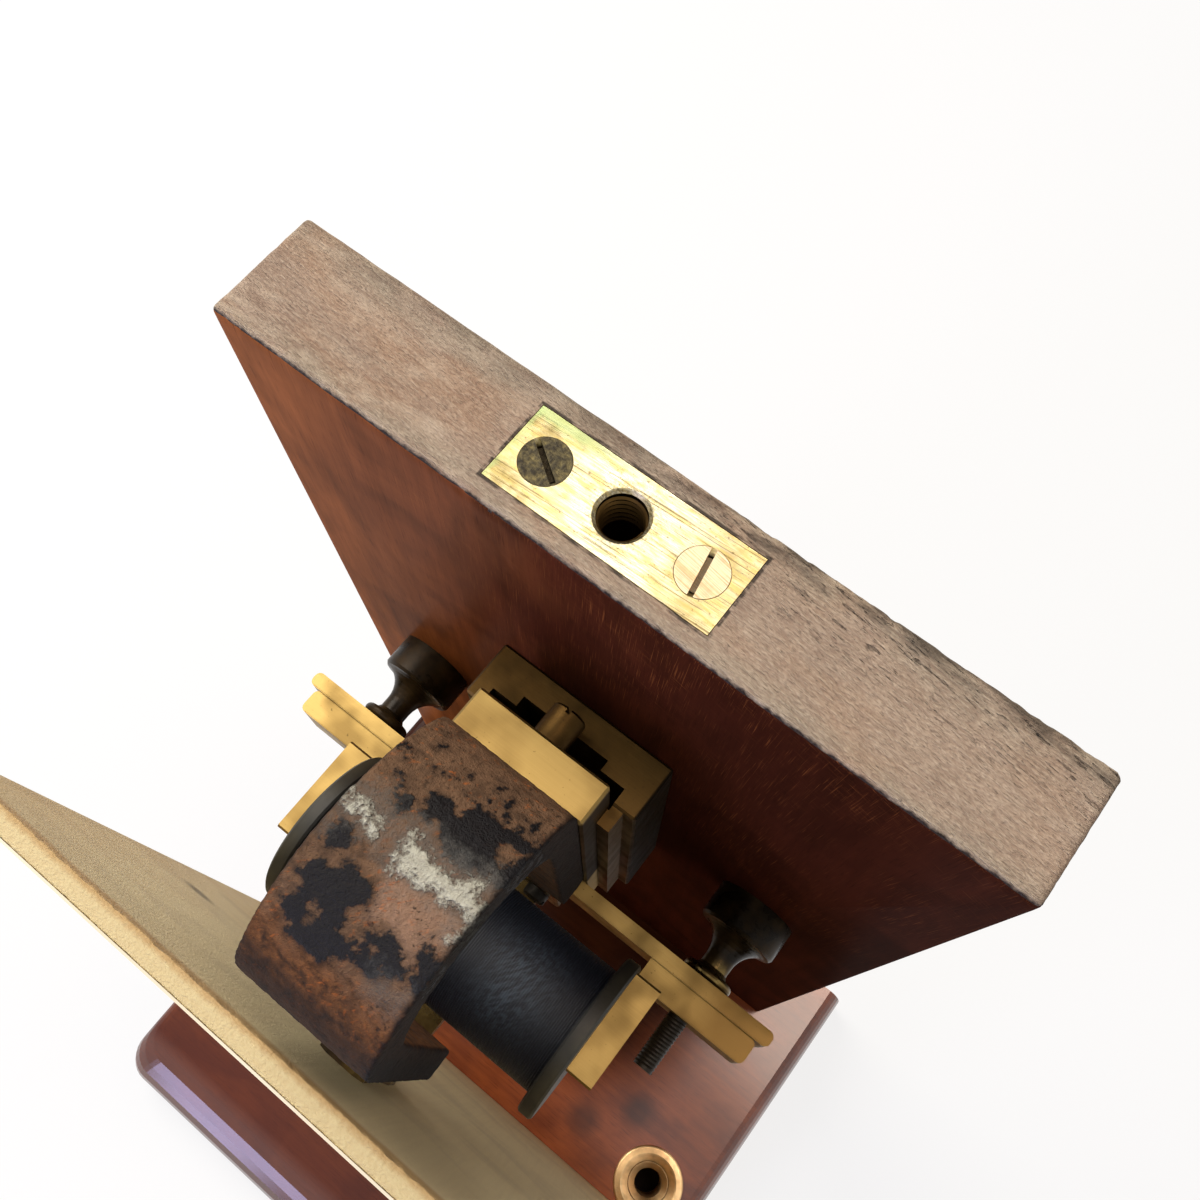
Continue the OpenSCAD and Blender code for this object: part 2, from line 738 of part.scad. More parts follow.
// Bobbin: a tube with a broad cheek outside and a thin one beside the arbor
module bobbin() {
    r = core_d / 2 + hole_clear;
    e = brass_ease;
    color("darkslategray") translate([0, coil_y, arbor_z]) rotate([0, 90, 0]) rotate_extrude()
        polygon([
            [r, coil_in], [winding_r - e, coil_in], [winding_r, coil_in + e],
            [winding_r, coil_in + inner_cheek_t], [tube_r, coil_in + inner_cheek_t],
            [tube_r, coil_out - cheek_t], [cheek_r - e, coil_out - cheek_t],
            [cheek_r, coil_out - cheek_t + e], [cheek_r, coil_out - e],
            [cheek_r - e, coil_out], [r, coil_out]]);
}

module left_bobbin() {
    mirror([1, 0, 0]) bobbin();
}

module right_bobbin() {
    bobbin();
}

// Winding: many layers of silk covered wire, drawn as the space that they fill
module winding() {
    x0 = coil_in + inner_cheek_t;
    x1 = coil_out - cheek_t;
    color("darkslateblue") translate([0, coil_y, arbor_z]) rotate([0, 90, 0]) rotate_extrude()
        polygon([[tube_r, x0], [winding_r, x0], [winding_r, x1], [tube_r, x1]]);
}

module left_winding() {
    mirror([1, 0, 0]) winding();
}

module right_winding() {
    winding();
}

// Core: soft iron, shouldered against the bracket and riveted over flush
module core() {
    color("slategray") translate([0, coil_y, arbor_z]) rotate([0, 90, 0]) rotate_extrude()
        polygon([[0, core_in], [core_d / 2, core_in], [core_d / 2, coil_out],
                 [rivet_d / 2, coil_out], [rivet_d / 2, coil_out + coil_bracket_t],
                 [0, coil_out + coil_bracket_t]]);
}

module left_core() {
    mirror([1, 0, 0]) core();
}

module right_core() {
    core();
}

// Bearing yoke: passes under the coils and carries the arbor's front bearing
module bearing_yoke() {
    low = arbor_z - yoke_drop;
    top = arbor_z + yoke_front_rise;
    rear = strip_face - yoke_t;
    limb_front = dial_back + yoke_t;
    color("darkkhaki") difference() {
        union() {
            eased_between([-yoke_back_w / 2, rear, low],
                          [yoke_back_w / 2, strip_face, pole_z - head_side_gap], brass_ease);
            translate([-yoke_w / 2, limb_front - brass_ease, low])
                cube([yoke_w, rear - limb_front + 2 * brass_ease, yoke_t]);
            translate([0, limb_front, 0]) rotate([90, 0, 0]) linear_extrude(yoke_t)
                polygon([[-yoke_w / 2, low], [yoke_w / 2, low], [yoke_w / 2, low + 6],
                         [yoke_top_w / 2, low + 12], [yoke_top_w / 2, top - 2],
                         [yoke_top_w / 2 - 2, top], [2 - yoke_top_w / 2, top],
                         [-yoke_top_w / 2, top - 2], [-yoke_top_w / 2, low + 12],
                         [-yoke_w / 2, low + 6]]);
        }
        translate([0, 0, arbor_z])
            along_y(journal_d / 2 + journal_clear, dial_back - past, limb_front + past);
        at_frame_screws(rear) mirror([0, 0, 1])
            cylinder(d = frame_screw_d + 2 * hole_clear, h = yoke_t + past);
        at_dial_screws(face_front + sink_below) mirror([0, 0, 1])
            cylinder(d = dial_screw_d + 2 * hole_clear, h = dial_screw_l + hole_clear);
    }
}

// Arbor: steel, a journal at each end, the front one long enough for the arm
module arbor() {
    back_shoulder = upright_face - end_shake;
    front_shoulder = dial_back + yoke_t + end_shake;
    front_end = arm_front - collet_nut_l - 1;
    back_end = upright_back - end_shake;
    r = arbor_d / 2;
    j = journal_d / 2;
    color("gray") translate([0, 0, arbor_z]) rotate([90, 0, 0]) rotate_extrude() polygon([
        [0, -back_end], [j, -back_end], [j, -back_shoulder], [r, -back_shoulder],
        [r, -front_shoulder], [j, -front_shoulder], [j, -front_end], [0, -front_end]]);
}

// Needle: a soft iron blade on a hub, inside the bobbins, pulled to one core or the other
module needle() {
    half = needle_l / 2;
    color("lightslategray") translate([0, coil_y, arbor_z]) difference() {
        union() {
            along_y(needle_hub_d / 2, -needle_w / 2, needle_w / 2);
            translate([-needle_t / 2, -needle_w / 2, -half - needle_low])
                cube([needle_t, needle_w, needle_l]);
        }
        along_y(arbor_d / 2, -needle_w, needle_w);
    }
}

// The moving pieces in front of the dial are drawn level and then lowered by the droop
module drooped() {
    translate([0, 0, arbor_z]) rotate([0, -arm_droop, 0]) children();
}

module arm_collet() {
    color("goldenrod") drooped() difference() {
        union() {
            along_y(collet_d / 2, arm_back, face_front - collet_gap);
            along_y(collet_boss_d / 2, arm_front, arm_back + brass_ease);
        }
        along_y(journal_d / 2, arm_front - past, face_front);
    }
}

module collet_nut() {
    color("goldenrod") drooped() difference() {
        union() {
            along_y(collet_d / 2 - 0.7, arm_front - collet_nut_l + brass_ease, arm_front);
            along_y(collet_d / 2 - 0.7 - brass_ease, arm_front - collet_nut_l, arm_front);
        }
        along_y(journal_d / 2, arm_front - collet_nut_l - past, arm_front + past);
    }
}

module signal_arm() {
    color("firebrick") drooped() difference() {
        translate([0, arm_back, 0]) rotate([90, 0, 0]) linear_extrude(arm_t) polygon(concat(
            [[-arm_l, arm_tip_w / 2], [-arm_l, -arm_tip_w / 2], [0, -arm_root_w / 2]],
            arc([arm_tail - weight_d / 2 - 1, 0], weight_d / 2 + 1, -90, 90, 12),
            [[0, arm_root_w / 2]]));
        along_y(collet_boss_d / 2 + hole_clear, arm_front - past, arm_back + past);
        translate([weight_x, 0, 0])
            along_y(weight_pin_d / 2 + hole_clear, arm_front - past, arm_back + past);
    }
}

module balance_weight() {
    color("goldenrod") drooped() translate([weight_x, 0, 0]) {
        along_y(weight_d / 2, arm_front - weight_l, arm_front);
        along_y(weight_pin_d / 2, arm_front - brass_ease, arm_back + arm_t / 2);
    }
}

// Stop pins: driven through the dial, one above and one below the arm
module stop_pins() {
    color("goldenrod") for (a = stop_angles)
        translate([-pin_reach * cos(a), 0, arbor_z + pin_reach * sin(a)])
            along_y(pin_d / 2, arm_front - 1.5, dial_back - pin_skin);
}

// Sizes that follow from the others and from the screws above
magnet_screw_z = upright_top - magnet_screw_drop;
bracket_web = bracket_d - slot_narrow_d;
bracket_screw_d = 3.6;
bracket_head_d = 7;
bracket_screw_l = 16;
bracket_screw_z = [arbor_z + 12, arbor_z - 2.5];
frame_screw_l = yoke_t + strip_t + upright_t + bracket_d - 3;
dial_screw_l = dial_t + face_t + yoke_t - 2 * sink_below;
collet_gap = 0.8;
collet_boss_d = journal_d + 2.6;
collet_nut_l = 2.4;
weight_x = arm_tail - weight_d / 2 - 1;
weight_pin_d = 2.4;
pin_skin = 0.6;

// The pins stand where the arm's edges reach them at the ends of its travel
arm_half = arm_root_w / 2 + (arm_tip_w - arm_root_w) / 2 * pin_reach / arm_l;
stop_swing = arm_travel + asin((arm_half + pin_d / 2 + 0.3) / pin_reach);
stop_angles = [-arm_droop + stop_swing, -arm_droop - stop_swing];

base();
left_screw_cup();
right_screw_cup();
backboard();
backboard_screws();
nut_plate();
nut_plate_screws();
dial_board();
dial_face();
dial_screws();
upright_bar();
cross_strip();
frame_screws();
stand_off_bracket();
bracket_screws();
left_pillar();
right_pillar();
left_stud();
right_stud();
stud_washers();
magnet();
magnet_screw();
left_coil_bracket();
right_coil_bracket();
left_bobbin();
right_bobbin();
left_winding();
right_winding();
left_core();
right_core();
bearing_yoke();
arbor();
needle();
arm_collet();
collet_nut();
signal_arm();
balance_weight();
stop_pins();
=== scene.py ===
"""Signal arm repeater: an uncased signal box instrument, dressed in wood, brass, rust and wire.

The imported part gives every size. This script gives the parts their finishes, and models anew
what wears, winds or is threaded: the two boards, the magnet, the coils and the threads.
"""

from math import cos, radians, sin, tau

import bpy
from bpy.props import FloatProperty, FloatVectorProperty, IntProperty, PointerProperty
from mathutils import Matrix, Vector, noise


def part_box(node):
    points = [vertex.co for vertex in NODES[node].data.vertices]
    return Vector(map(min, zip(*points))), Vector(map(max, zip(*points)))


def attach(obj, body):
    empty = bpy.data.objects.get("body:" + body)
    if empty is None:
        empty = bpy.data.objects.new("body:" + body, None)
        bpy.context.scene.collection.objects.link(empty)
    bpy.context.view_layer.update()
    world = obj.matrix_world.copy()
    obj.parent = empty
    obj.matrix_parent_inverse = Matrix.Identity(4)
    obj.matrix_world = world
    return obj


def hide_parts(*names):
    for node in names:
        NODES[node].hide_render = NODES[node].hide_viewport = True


bl_info = {
    "name": "Signal Arm Repeater",
    "version": (1, 0, 0),
    "blender": (4, 5, 0),
    "location": "3D View > Sidebar > Repeater",
    "description": "Dresses a signal arm repeater in worn wood, brass, rusty steel and silk",
    "category": "Object",
}

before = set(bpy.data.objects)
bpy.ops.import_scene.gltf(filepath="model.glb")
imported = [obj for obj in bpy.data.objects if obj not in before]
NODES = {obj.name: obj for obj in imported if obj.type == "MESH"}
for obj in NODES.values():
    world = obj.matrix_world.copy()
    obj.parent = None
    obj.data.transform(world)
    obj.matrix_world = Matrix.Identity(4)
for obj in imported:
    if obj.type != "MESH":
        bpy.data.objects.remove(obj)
MM = 0.001
ROOT = "instrument"


def linear(code):
    """The linear colour of an sRGB hex code, with full alpha."""
    parts = [int(code[i : i + 2], 16) / 255 for i in (1, 3, 5)]
    return [c / 12.92 if c <= 0.04045 else ((c + 0.055) / 1.055) ** 2.4 for c in parts] + [1.0]


def colour(name, text, code):
    """A colour setting with its default as an sRGB hex code."""
    return FloatVectorProperty(
        name=name, description=text, default=linear(code), size=4, min=0, max=1, subtype="COLOR"
    )


def length(name, text, millimetres):
    """A length setting with its default in millimetres."""
    return FloatProperty(
        name=name, description=text, default=millimetres * MM, min=0, unit="LENGTH", precision=5
    )


class RepeaterSizes(bpy.types.PropertyGroup):
    """Sizes of the pieces that are modelled here."""

    board_cell: length("Board cell", "Width of the squares of the boards' worn top edges", 0.6)
    board_ease: length("Board edge", "Rounding of the backboard's edges", 0.9)
    board_wear: length("Board wear", "Deepest dent in the backboard's top", 0.45)
    dial_ease: length("Dial edge", "Rounding of the dial board's edges", 0.3)
    dial_wear: length("Dial wear", "Deepest break in the dial board's top edge", 0.3)
    rust_cell: length("Rust cell", "Size of the squares of the magnet's surface", 0.45)
    paint_coat: length("Paint coat", "Thickness of the old paint on the magnet", 0.09)
    lime_coat: length("Lime coat", "Thickness of the pale crust on the magnet", 0.34)
    rust_pit: length("Rust pit", "Depth of the pits in the magnet", 0.22)
    wire_pitch: length("Wire pitch", "From one turn of covered wire to the next", 0.44)
    left_slot: FloatProperty(
        name="Left slot",
        description="Turn of the left screw's slot from that of the right one, in degrees",
        default=-46,
        unit="NONE",
    )
    nut_pitch: length("Nut thread pitch", "Pitch of the thread in the nut plate", 1.2)
    stud_pitch: length("Stud thread pitch", "Pitch of the thread on the long screws", 0.75)
    round_steps: IntProperty(
        name="Steps in a turn", description="Straight steps in one turn of wire", default=72, min=24
    )


class RepeaterColours(bpy.types.PropertyGroup):
    """Colours of the finishes."""

    # Also the colour of painted shade on the backboard's face and under the mechanism on the base.
    polish_dark: colour("Polish, dark", "Darkest grain of the polished mahogany", "#1f0f0a")
    polish_red: colour("Polish, red", "Body of the polished mahogany", "#63301f")
    # Also the colour of the painted reflection on the backboard's left side.
    polish_gold: colour("Polish, gold", "Sunburnt side of the backboard", "#c4763f")
    base_red: colour("Base, red", "Body of the base", "#9a5029")
    # Also the colour of the painted shade towards the base's front.
    base_dark: colour("Base, dark", "Grain of the base", "#4a1d14")
    bare_tan: colour("Bare wood, tan", "Body of the backboard's bare top", "#b8a28d")
    bare_brown: colour("Bare wood, brown", "Grain of the backboard's bare top", "#80695a")
    bare_warm: colour("Bare wood, warm", "Tan clouds where a little polish is left", "#b8916f")
    bare_grey: colour("Bare wood, grey", "Weathered grey-green wood along the edges", "#a3a08c")
    bare_pale: colour("Bare wood, pale", "Rubbed places on the backboard's top", "#cdbea8")
    grime: colour("Grime", "Dirt in gaps and on broken edges", "#2b2620")
    dial_cream: colour("Dial edge", "Cream paint on the dial board's edge", "#dccd9e")
    dial_stone: colour("Dial back", "Faded paint on the dial board's back", "#dfcfa2")
    dial_tan: colour("Dial lip", "Brown bloom at the dial board's back edge", "#b8935f")
    dial_white: colour("Dial face", "Enamel of the dial's face", "#efe8d2")
    signal_red: colour("Signal red", "Enamel of the arm", "#b3261c")
    # Also the colour of the painted shadow on the floor under the base.
    signal_black: colour("Signal black", "Black lines on dial and plate", "#1c1a1a")
    brass: colour("Brass", "Filed brass bars and brackets", "#a58a52")
    brass_pale: colour("Brass, pale", "Scraped brass of the nut plate", "#f2ebcc")
    brass_dull: colour("Brass, dull", "Handled brass with a brown film", "#5f4725")
    # Also painted shade on the brass: bar faces, pillars, countersinks, slots and the nut plate's
    # hole.
    brass_dark: colour("Brass, dark", "Brass gone dark brown", "#1f170c")
    brass_yellow: colour("Brass, yellow", "Darker scratches of the nut plate", "#ceb468")
    brass_olive: colour("Brass, olive", "Tarnished ends of the nut plate", "#c2ad74")
    brass_warm: colour("Brass, warm", "Turned brass of cups and small screws", "#e4be8a")
    verdigris: colour("Verdigris", "Green bloom on brass", "#8a9a68")
    rust_brown: colour("Rust, brown", "Old rust on the magnet", "#7c6049")
    rust_orange: colour("Rust, orange", "Fresh rust on the magnet", "#86542a")
    rust_dark: colour("Rust, dark", "Black oxide on the magnet", "#241c16")
    rust_fresh: colour("Rust, fresh", "Fresh bright orange grains of rust", "#b0642e")
    rust_pink: colour("Rust, pale", "Dry bloom of rust on the magnet", "#ad8c74")
    haze: colour("Haze", "Grey veil of lime over paint and rust", "#5e5f5c")
    # Also the colour of painted shade on the magnet's side faces.
    old_paint: colour("Old paint", "Blue-black paint left on the magnet", "#0e0e11")
    lime: colour("Lime", "Pale crust across the magnet", "#d0d2c2")
    ebonite: colour("Ebonite", "Hard rubber of the bobbins", "#191814")
    ebonite_olive: colour("Ebonite, faded", "Hard rubber gone olive in the light", "#3f3c30")
    # All of this colour is painted sheen on the silk.
    silk: colour("Silk", "Silk covering of the wire", "#12161e")
    silk_worn: colour("Silk, worn", "Rubbed silk on the top of each turn", "#3d4753")
    iron: colour("Iron", "Annealed iron of the cores, and chips in enamel", "#6d6760")
    steel: colour("Steel", "Darkened steel of the screws", "#34302a")
    bright_steel: colour("Bright steel", "Polished arbor", "#b9b6ae")
    floor: colour("Floor", "Pale floor under the part", "#f4f4f2")


def sizes():
    """The part's size settings."""
    return bpy.context.scene.repeater_sizes


def colours():
    """The part's colour settings."""
    return bpy.context.scene.repeater_colours


# Materials: small helpers


def set_inputs(tree, node, inputs):
    """Links or sets the inputs of a node."""
    for key, value in inputs.items():
        if isinstance(value, bpy.types.NodeSocket):
            tree.links.new(value, node.inputs[key])
        else:
            node.inputs[key].default_value = value


def add_node(tree, kind, inputs=None, **settings):
    """Adds a node with its settings, and links or sets its inputs."""
    node = tree.nodes.new("ShaderNode" + kind)
    for name, value in settings.items():
        setattr(node, name, value)
    set_inputs(tree, node, inputs or {})
    return node


def new_finish(name, **sockets):
    """A material with one Principled shader: returns the material, its tree and the shader."""
    material = bpy.data.materials.new(name)
    material.use_nodes = True
    tree = material.node_tree
    tree.nodes.clear()
    inputs = {key.replace("_", " "): value for key, value in sockets.items()}
    shader = add_node(tree, "BsdfPrincipled", inputs)
    add_node(tree, "OutputMaterial", {"Surface": shader.outputs["BSDF"]})
    return material, tree, shader


def spots(tree, size, low=0.4, high=0.6, turn=(0, 0, 0), at=(0, 0, 0), detail=3, swirl=0):
    """An amount from 0 to 1 that changes over these sizes along X, Y and Z, in mm.

    The pattern is turned by degrees. What lies under low is 0, and what lies over high is 1.
    """
    place = add_node(tree, "TexCoord").outputs["Object"]
    spread = add_node(
        tree,
        "Mapping",
        {
            "Vector": place,
            "Location": [a * MM for a in at],
            "Rotation": [radians(a) for a in turn],
            "Scale": [s * MM for s in size],
        },
        vector_type="TEXTURE",
    )
    cloud = add_node(
        tree,
        "TexNoise",
        {"Vector": spread.outputs[0], "Scale": 1, "Detail": detail, "Distortion": swirl},
    )
    inputs = {"Value": cloud.outputs[0], "From Min": low, "From Max": high}
    return add_node(tree, "MapRange", inputs).outputs[0]


def slope(tree, axis, start, end, ragged=0.0, size=(2, 2, 2)):
    """An amount that goes from 0 at start to 1 at end along an axis, in mm.

    With ragged, its line wanders by that many mm, in waves of the given size.
    """
    place = add_node(tree, "TexCoord").outputs["Object"]
    value = add_node(tree, "SeparateXYZ", {0: place}).outputs["XYZ".index(axis)]
    if ragged:
        waves = spots(tree, size, 0.2, 0.8)
        value = add_node(
            tree, "Math", {0: waves, 1: ragged * MM, 2: value}, operation="MULTIPLY_ADD"
        ).outputs[0]
    inputs = {"Value": value, "From Min": start * MM, "From Max": end * MM}
    return add_node(tree, "MapRange", inputs).outputs[0]


def box_mm(name):
    """The two corners of a CAD node's box, in mm."""
    return [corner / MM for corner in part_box(name)]


def combined(tree, operation, amounts):
    """The amounts put together one after the other, by an operation on two numbers."""
    total = amounts[0]
    for amount in amounts[1:]:
        total = add_node(tree, "Math", {0: total, 1: amount}, operation=operation).outputs[0]
    return total


def product(tree, *amounts):
    """The amounts multiplied with each other."""
    return combined(tree, "MULTIPLY", amounts)


def either(tree, *amounts):
    """The largest of some amounts."""
    return combined(tree, "MAXIMUM", amounts)


def layers(tree, first, *coats):
    """A first colour, and over it each coat's colour by the coat's amount.

    A coat is its amount and its colour, with its strength between them if that isn't 1.
    """
    top = first
    for amount, *strength, coat in coats:
        if strength:
            amount = between(tree, amount, 0, *strength)
        top = add_node(tree, "Mix", {0: amount, 6: top, 7: coat}, data_type="RGBA").outputs[2]
    return top


def between(tree, amount, low, high):
    """A value that goes from low to high with an amount."""
    inputs = {"Value": amount, "To Min": low, "To Max": high}
    return add_node(tree, "MapRange", inputs).outputs[0]


def near(tree, axis, middle, reach):
    """An amount that is 1 at a place along an axis and falls to 0 at a distance from it, in mm."""
    return product(
        tree,
        slope(tree, axis, middle - reach, middle),
        slope(tree, axis, middle + reach, middle),
    )


def relief(tree, *heights):
    """A surface normal shaped by heights, each with its depth in mm."""
    inputs = {}
    for height, depth in heights:
        inputs.update({"Height": height, "Distance": depth * MM})
        inputs["Normal"] = add_node(tree, "Bump", inputs).outputs[0]
    return inputs["Normal"]


def round_mark(tree, centre, radius, soft, squash=(1, 1, 1)):
    """An amount that is 1 inside a ball, given in mm, and fades over its soft edge."""
    place = add_node(tree, "TexCoord").outputs["Object"]
    inputs = {
        "Vector": place,
        "Location": [c * MM for c in centre],
        "Scale": [radius * s * MM for s in squash],
    }
    ball = add_node(tree, "Mapping", inputs, vector_type="TEXTURE")
    far = add_node(tree, "VectorMath", {0: ball.outputs[0]}, operation="LENGTH").outputs["Value"]
    inputs = {"Value": far, "From Min": 1 + soft, "From Max": 1}
    return add_node(tree, "MapRange", inputs).outputs[0]


def box_mark(tree, low, high, soft=0.1, turn=0.0, pivot=(0, 0, 0)):
    """An amount that is 1 inside a box, given by corners in mm, turned about Y at a pivot."""
    place = add_node(tree, "TexCoord").outputs["Object"]
    turned = add_node(
        tree,
        "Mapping",
        {
            "Vector": place,
            "Location": [p * MM for p in pivot],
            "Rotation": (0, radians(turn), 0),
            "Scale": (MM, MM, MM),
        },
        vector_type="TEXTURE",
    )
    parts = add_node(tree, "SeparateXYZ", {0: turned.outputs[0]})
    sides = []
    for axis in range(3):
        for edge, way in ((low[axis], 1), (high[axis], -1)):
            inputs = {
                "Value": parts.outputs[axis],
                "From Min": edge - pivot[axis] - way * soft,
                "From Max": edge - pivot[axis] + way * soft,
            }
            sides.append(add_node(tree, "MapRange", inputs).outputs[0])
    return product(tree, *sides)


# Materials: wood


def polished_mahogany():
    """French polished Honduras mahogany, rubbed for a century.

    Shellac gives a deep, clear red that still mirrors softly at a low angle. The left side is
    painted lighter orange as a painted reflection, and the right side darker as painted shade.
    Cloths have left fine upright scratches.
    """
    paint = colours()
    finish, tree, shader = new_finish(
        "polished_mahogany", Specular_IOR_Level=0.0, Coat_Roughness=0.3
    )
    top = box_mm("backboard")[1].z
    grain = spots(tree, (2.4, 2.4, 45), 0.3, 0.7, detail=5, swirl=0.4)
    pores = spots(tree, (0.25, 0.25, 6), 0.56, 0.7)
    flame = spots(tree, (22, 22, 40), 0.44, 0.64, detail=4, swirl=1.2, at=(8, 0, 13))
    # Painted reflection: the board's face is painted lighter orange towards the left.
    faded = slope(tree, "X", 6, -52, ragged=22, size=(24, 24, 34))
    # Painted shade: the face is painted darker towards the right, where its coat is thinner too.
    right_painted_shade = slope(tree, "X", -14, 34, ragged=18, size=(20, 20, 30))
    scratched = product(
        tree,
        spots(tree, (0.12, 0.12, 9), 0.58, 0.74, turn=(0, 3, 0)),
        spots(tree, (20, 20, 20), 0.36, 0.64),
        slope(tree, "Z", top - 124, top - 12),
    )
    crossed = product(
        tree,
        spots(tree, (5, 0.16, 0.12), 0.6, 0.74, turn=(0, 24, 0)),
        spots(tree, (20, 20, 20), 0.38, 0.66, at=(30, 0, 9)),
        slope(tree, "Z", top - 49, top - 6),
    )
    wood = layers(
        tree,
        paint.polish_red,
        (faded, 0.9, paint.polish_gold),
        (right_painted_shade, 0.45, paint.polish_dark),
        (grain, 0.3, paint.polish_dark),
        (flame, 0.4, paint.polish_dark),
        (pores, 0.35, paint.polish_dark),
        (scratched, 0.5, paint.polish_gold),
        (crossed, 0.45, paint.polish_gold),
    )
    set_inputs(
        tree,
        shader,
        {
            "Base Color": wood,
            "Roughness": between(tree, grain, 0.36, 0.42),
            "Coat Weight": between(tree, right_painted_shade, 0.1, 0.03),
            "Normal": relief(tree, (scratched, -0.008), (crossed, -0.008)),
        },
    )
    return finish


def bare_end_wood():
    """Bare end of the mahogany backboard, weathered where the case never quite closed.

    Bare fibres scatter light, so it looks dry and grey-brown. The grain stands up in short
    ribs, the edges are rubbed pale, the rear edge is broken and dirty, and the polish from the
    front ends in a thin dark line.
    """
    paint = colours()
    finish, tree, shader = new_finish("bare_end_wood", Specular_IOR_Level=0.25, Roughness=0.78)
    front, back = (corner.y for corner in box_mm("backboard"))
    ribs = spots(tree, (2.8, 0.3, 0.5), 0.34, 0.66, turn=(0, 0, -4), detail=4)
    fibres = spots(tree, (0.7, 0.13, 0.3), 0.35, 0.65, turn=(0, 0, -6), detail=2)
    cloud = spots(tree, (13, 7, 9), 0.38, 0.64, detail=4)
    warm = spots(tree, (16, 7, 9), 0.44, 0.62, detail=3, at=(20, 6, 0))
    weathered = product(
        tree,
        either(
            tree,
            slope(tree, "Y", back - 5, back - 1, ragged=3, size=(9, 5, 5)),
            slope(tree, "Y", front + 5.5, front + 2, ragged=2, size=(9, 5, 5)),
        ),
        spots(tree, (11, 4, 5), 0.36, 0.56, at=(5, 9, 0)),
    )
    rubbed = product(
        tree,
        spots(tree, (9, 2.4, 3), 0.5, 0.7, at=(4, 2, 0)),
        slope(tree, "X", 46, -30, ragged=10),
    )
    front_rub = product(
        tree,
        slope(tree, "Y", front + 4.5, front + 0.5, ragged=2.4),
        spots(tree, (5, 1.2, 2), 0.42, 0.62),
        slope(tree, "X", 40, -46),
    )
    rear = product(
        tree,
        slope(tree, "Y", back - 2.3, back - 0.5, ragged=1.3, size=(2.6, 2.6, 2.6)),
        spots(tree, (7, 2, 2), 0.36, 0.56),
        between(tree, slope(tree, "X", -25, 12), 0.35, 1),
    )
    cracks = product(
        tree,
        spots(tree, (2.6, 0.34, 0.6), 0.6, 0.68, turn=(0, 0, -7), at=(1, 1, 0)),
        slope(tree, "Y", back - 7.5, back - 1.5, ragged=4, size=(9, 9, 9)),
        slope(tree, "X", -4, 12),
    )
    lacquer = slope(tree, "Y", front + 0.85, front + 0.5, ragged=0.5, size=(1.3, 1.3, 1.3))
    plate_low, plate_high = box_mm("nut_plate")
    gap = product(
        tree,
        box_mark(tree, plate_low - Vector((0.5, 0.5, 9)), plate_high + Vector((0.5, 0.5, 9))),
        spots(tree, (3.5, 1.2, 2), 0.4, 0.55),
    )
    wood = layers(
        tree,
        paint.bare_tan,
        (cloud, 0.45, paint.bare_brown),
        (warm, 0.5, paint.bare_warm),
        (weathered, 0.55, paint.bare_grey),
        (slope(tree, "X", -20, 50), 0.28, paint.bare_pale),
        (between(tree, ribs, 0.4, 0), paint.bare_brown),
        (between(tree, fibres, 0.38, 0), paint.bare_brown),
        (product(tree, ribs, between(tree, fibres, 0, 0.5)), paint.bare_pale),
        (rubbed, 0.42, paint.bare_pale),
        (front_rub, 0.9, paint.bare_pale),
        (cracks, 0.5, paint.grime),
        (rear, 0.7, paint.grime),
        (gap, 0.85, paint.grime),
        (lacquer, paint.polish_dark),
    )
    set_inputs(
        tree,
        shader,
        {
            "Base Color": wood,
            "Roughness": between(tree, lacquer, 0.8, 0.3),
            "Normal": relief(tree, (ribs, 0.1), (fibres, 0.09), (cracks, -0.25)),
        },
    )
    return finish


def base_mahogany():
    """Polished mahogany of the base, its grain along the front.

    It has kept more of its shellac than the backboard, so the round along its front still
    shows a bright, cool gleam, and its top a pink one. Under the mechanism it is painted nearly
    black, with less coat, as painted shade, and it is painted darker towards the front, also as
    painted shade.
    """
    paint = colours()
    finish, tree, shader = new_finish(
        "base_mahogany", Specular_IOR_Level=0.0, Coat_Roughness=0.16, Coat_IOR=1.6
    )
    low, high = box_mm("base")
    grain = spots(tree, (48, 1.8, 1.8), 0.3, 0.7, detail=5, swirl=0.5)
    pores = spots(tree, (5, 0.22, 0.22), 0.56, 0.68)
    cloud = spots(tree, (24, 16, 10), 0.4, 0.62, detail=3, swirl=0.8)
    # Painted shade: the base is painted darker towards its front.
    front = slope(tree, "Y", -22, -52, ragged=12, size=(30, 16, 16))
    glossy = either(
        tree,
        slope(tree, "Y", low.y + 15.5, low.y + 11.5),
        slope(tree, "X", 36, 62, ragged=9, size=(20, 20, 20)),
    )
    # Painted shade: under the mechanism the base is painted nearly black and given less coat.
    painted_shade = product(
        tree,
        slope(tree, "Y", 6, 30, ragged=8, size=(14, 14, 14)),
        slope(tree, "X", 60, 40, ragged=8, size=(14, 14, 14)),
    )
    smudged = either(
        tree,
        round_mark(tree, (39.8, 0.2, high.z), 2.4, 1.8),
        round_mark(tree, (51.6, 11.5, high.z), 2.2, 1.8),
    )
    wood = layers(
        tree,
        paint.base_red,
        (grain, 0.35, paint.base_dark),
        (cloud, 0.5, paint.base_dark),
        (pores, 0.4, paint.polish_dark),
        (front, 0.75, paint.base_dark),
        (painted_shade, 0.88, paint.polish_dark),
        (smudged, 0.6, paint.polish_dark),
    )
    set_inputs(
        tree,
        shader,
        {
            "Base Color": wood,
            "Roughness": between(tree, cloud, 0.3, 0.42),
            "Coat Weight": product(
                tree, between(tree, glossy, 0.4, 1), between(tree, painted_shade, 1, 0.25)
            ),
            "Normal": relief(tree, (pores, -0.01)),
        },
    )
    return finish


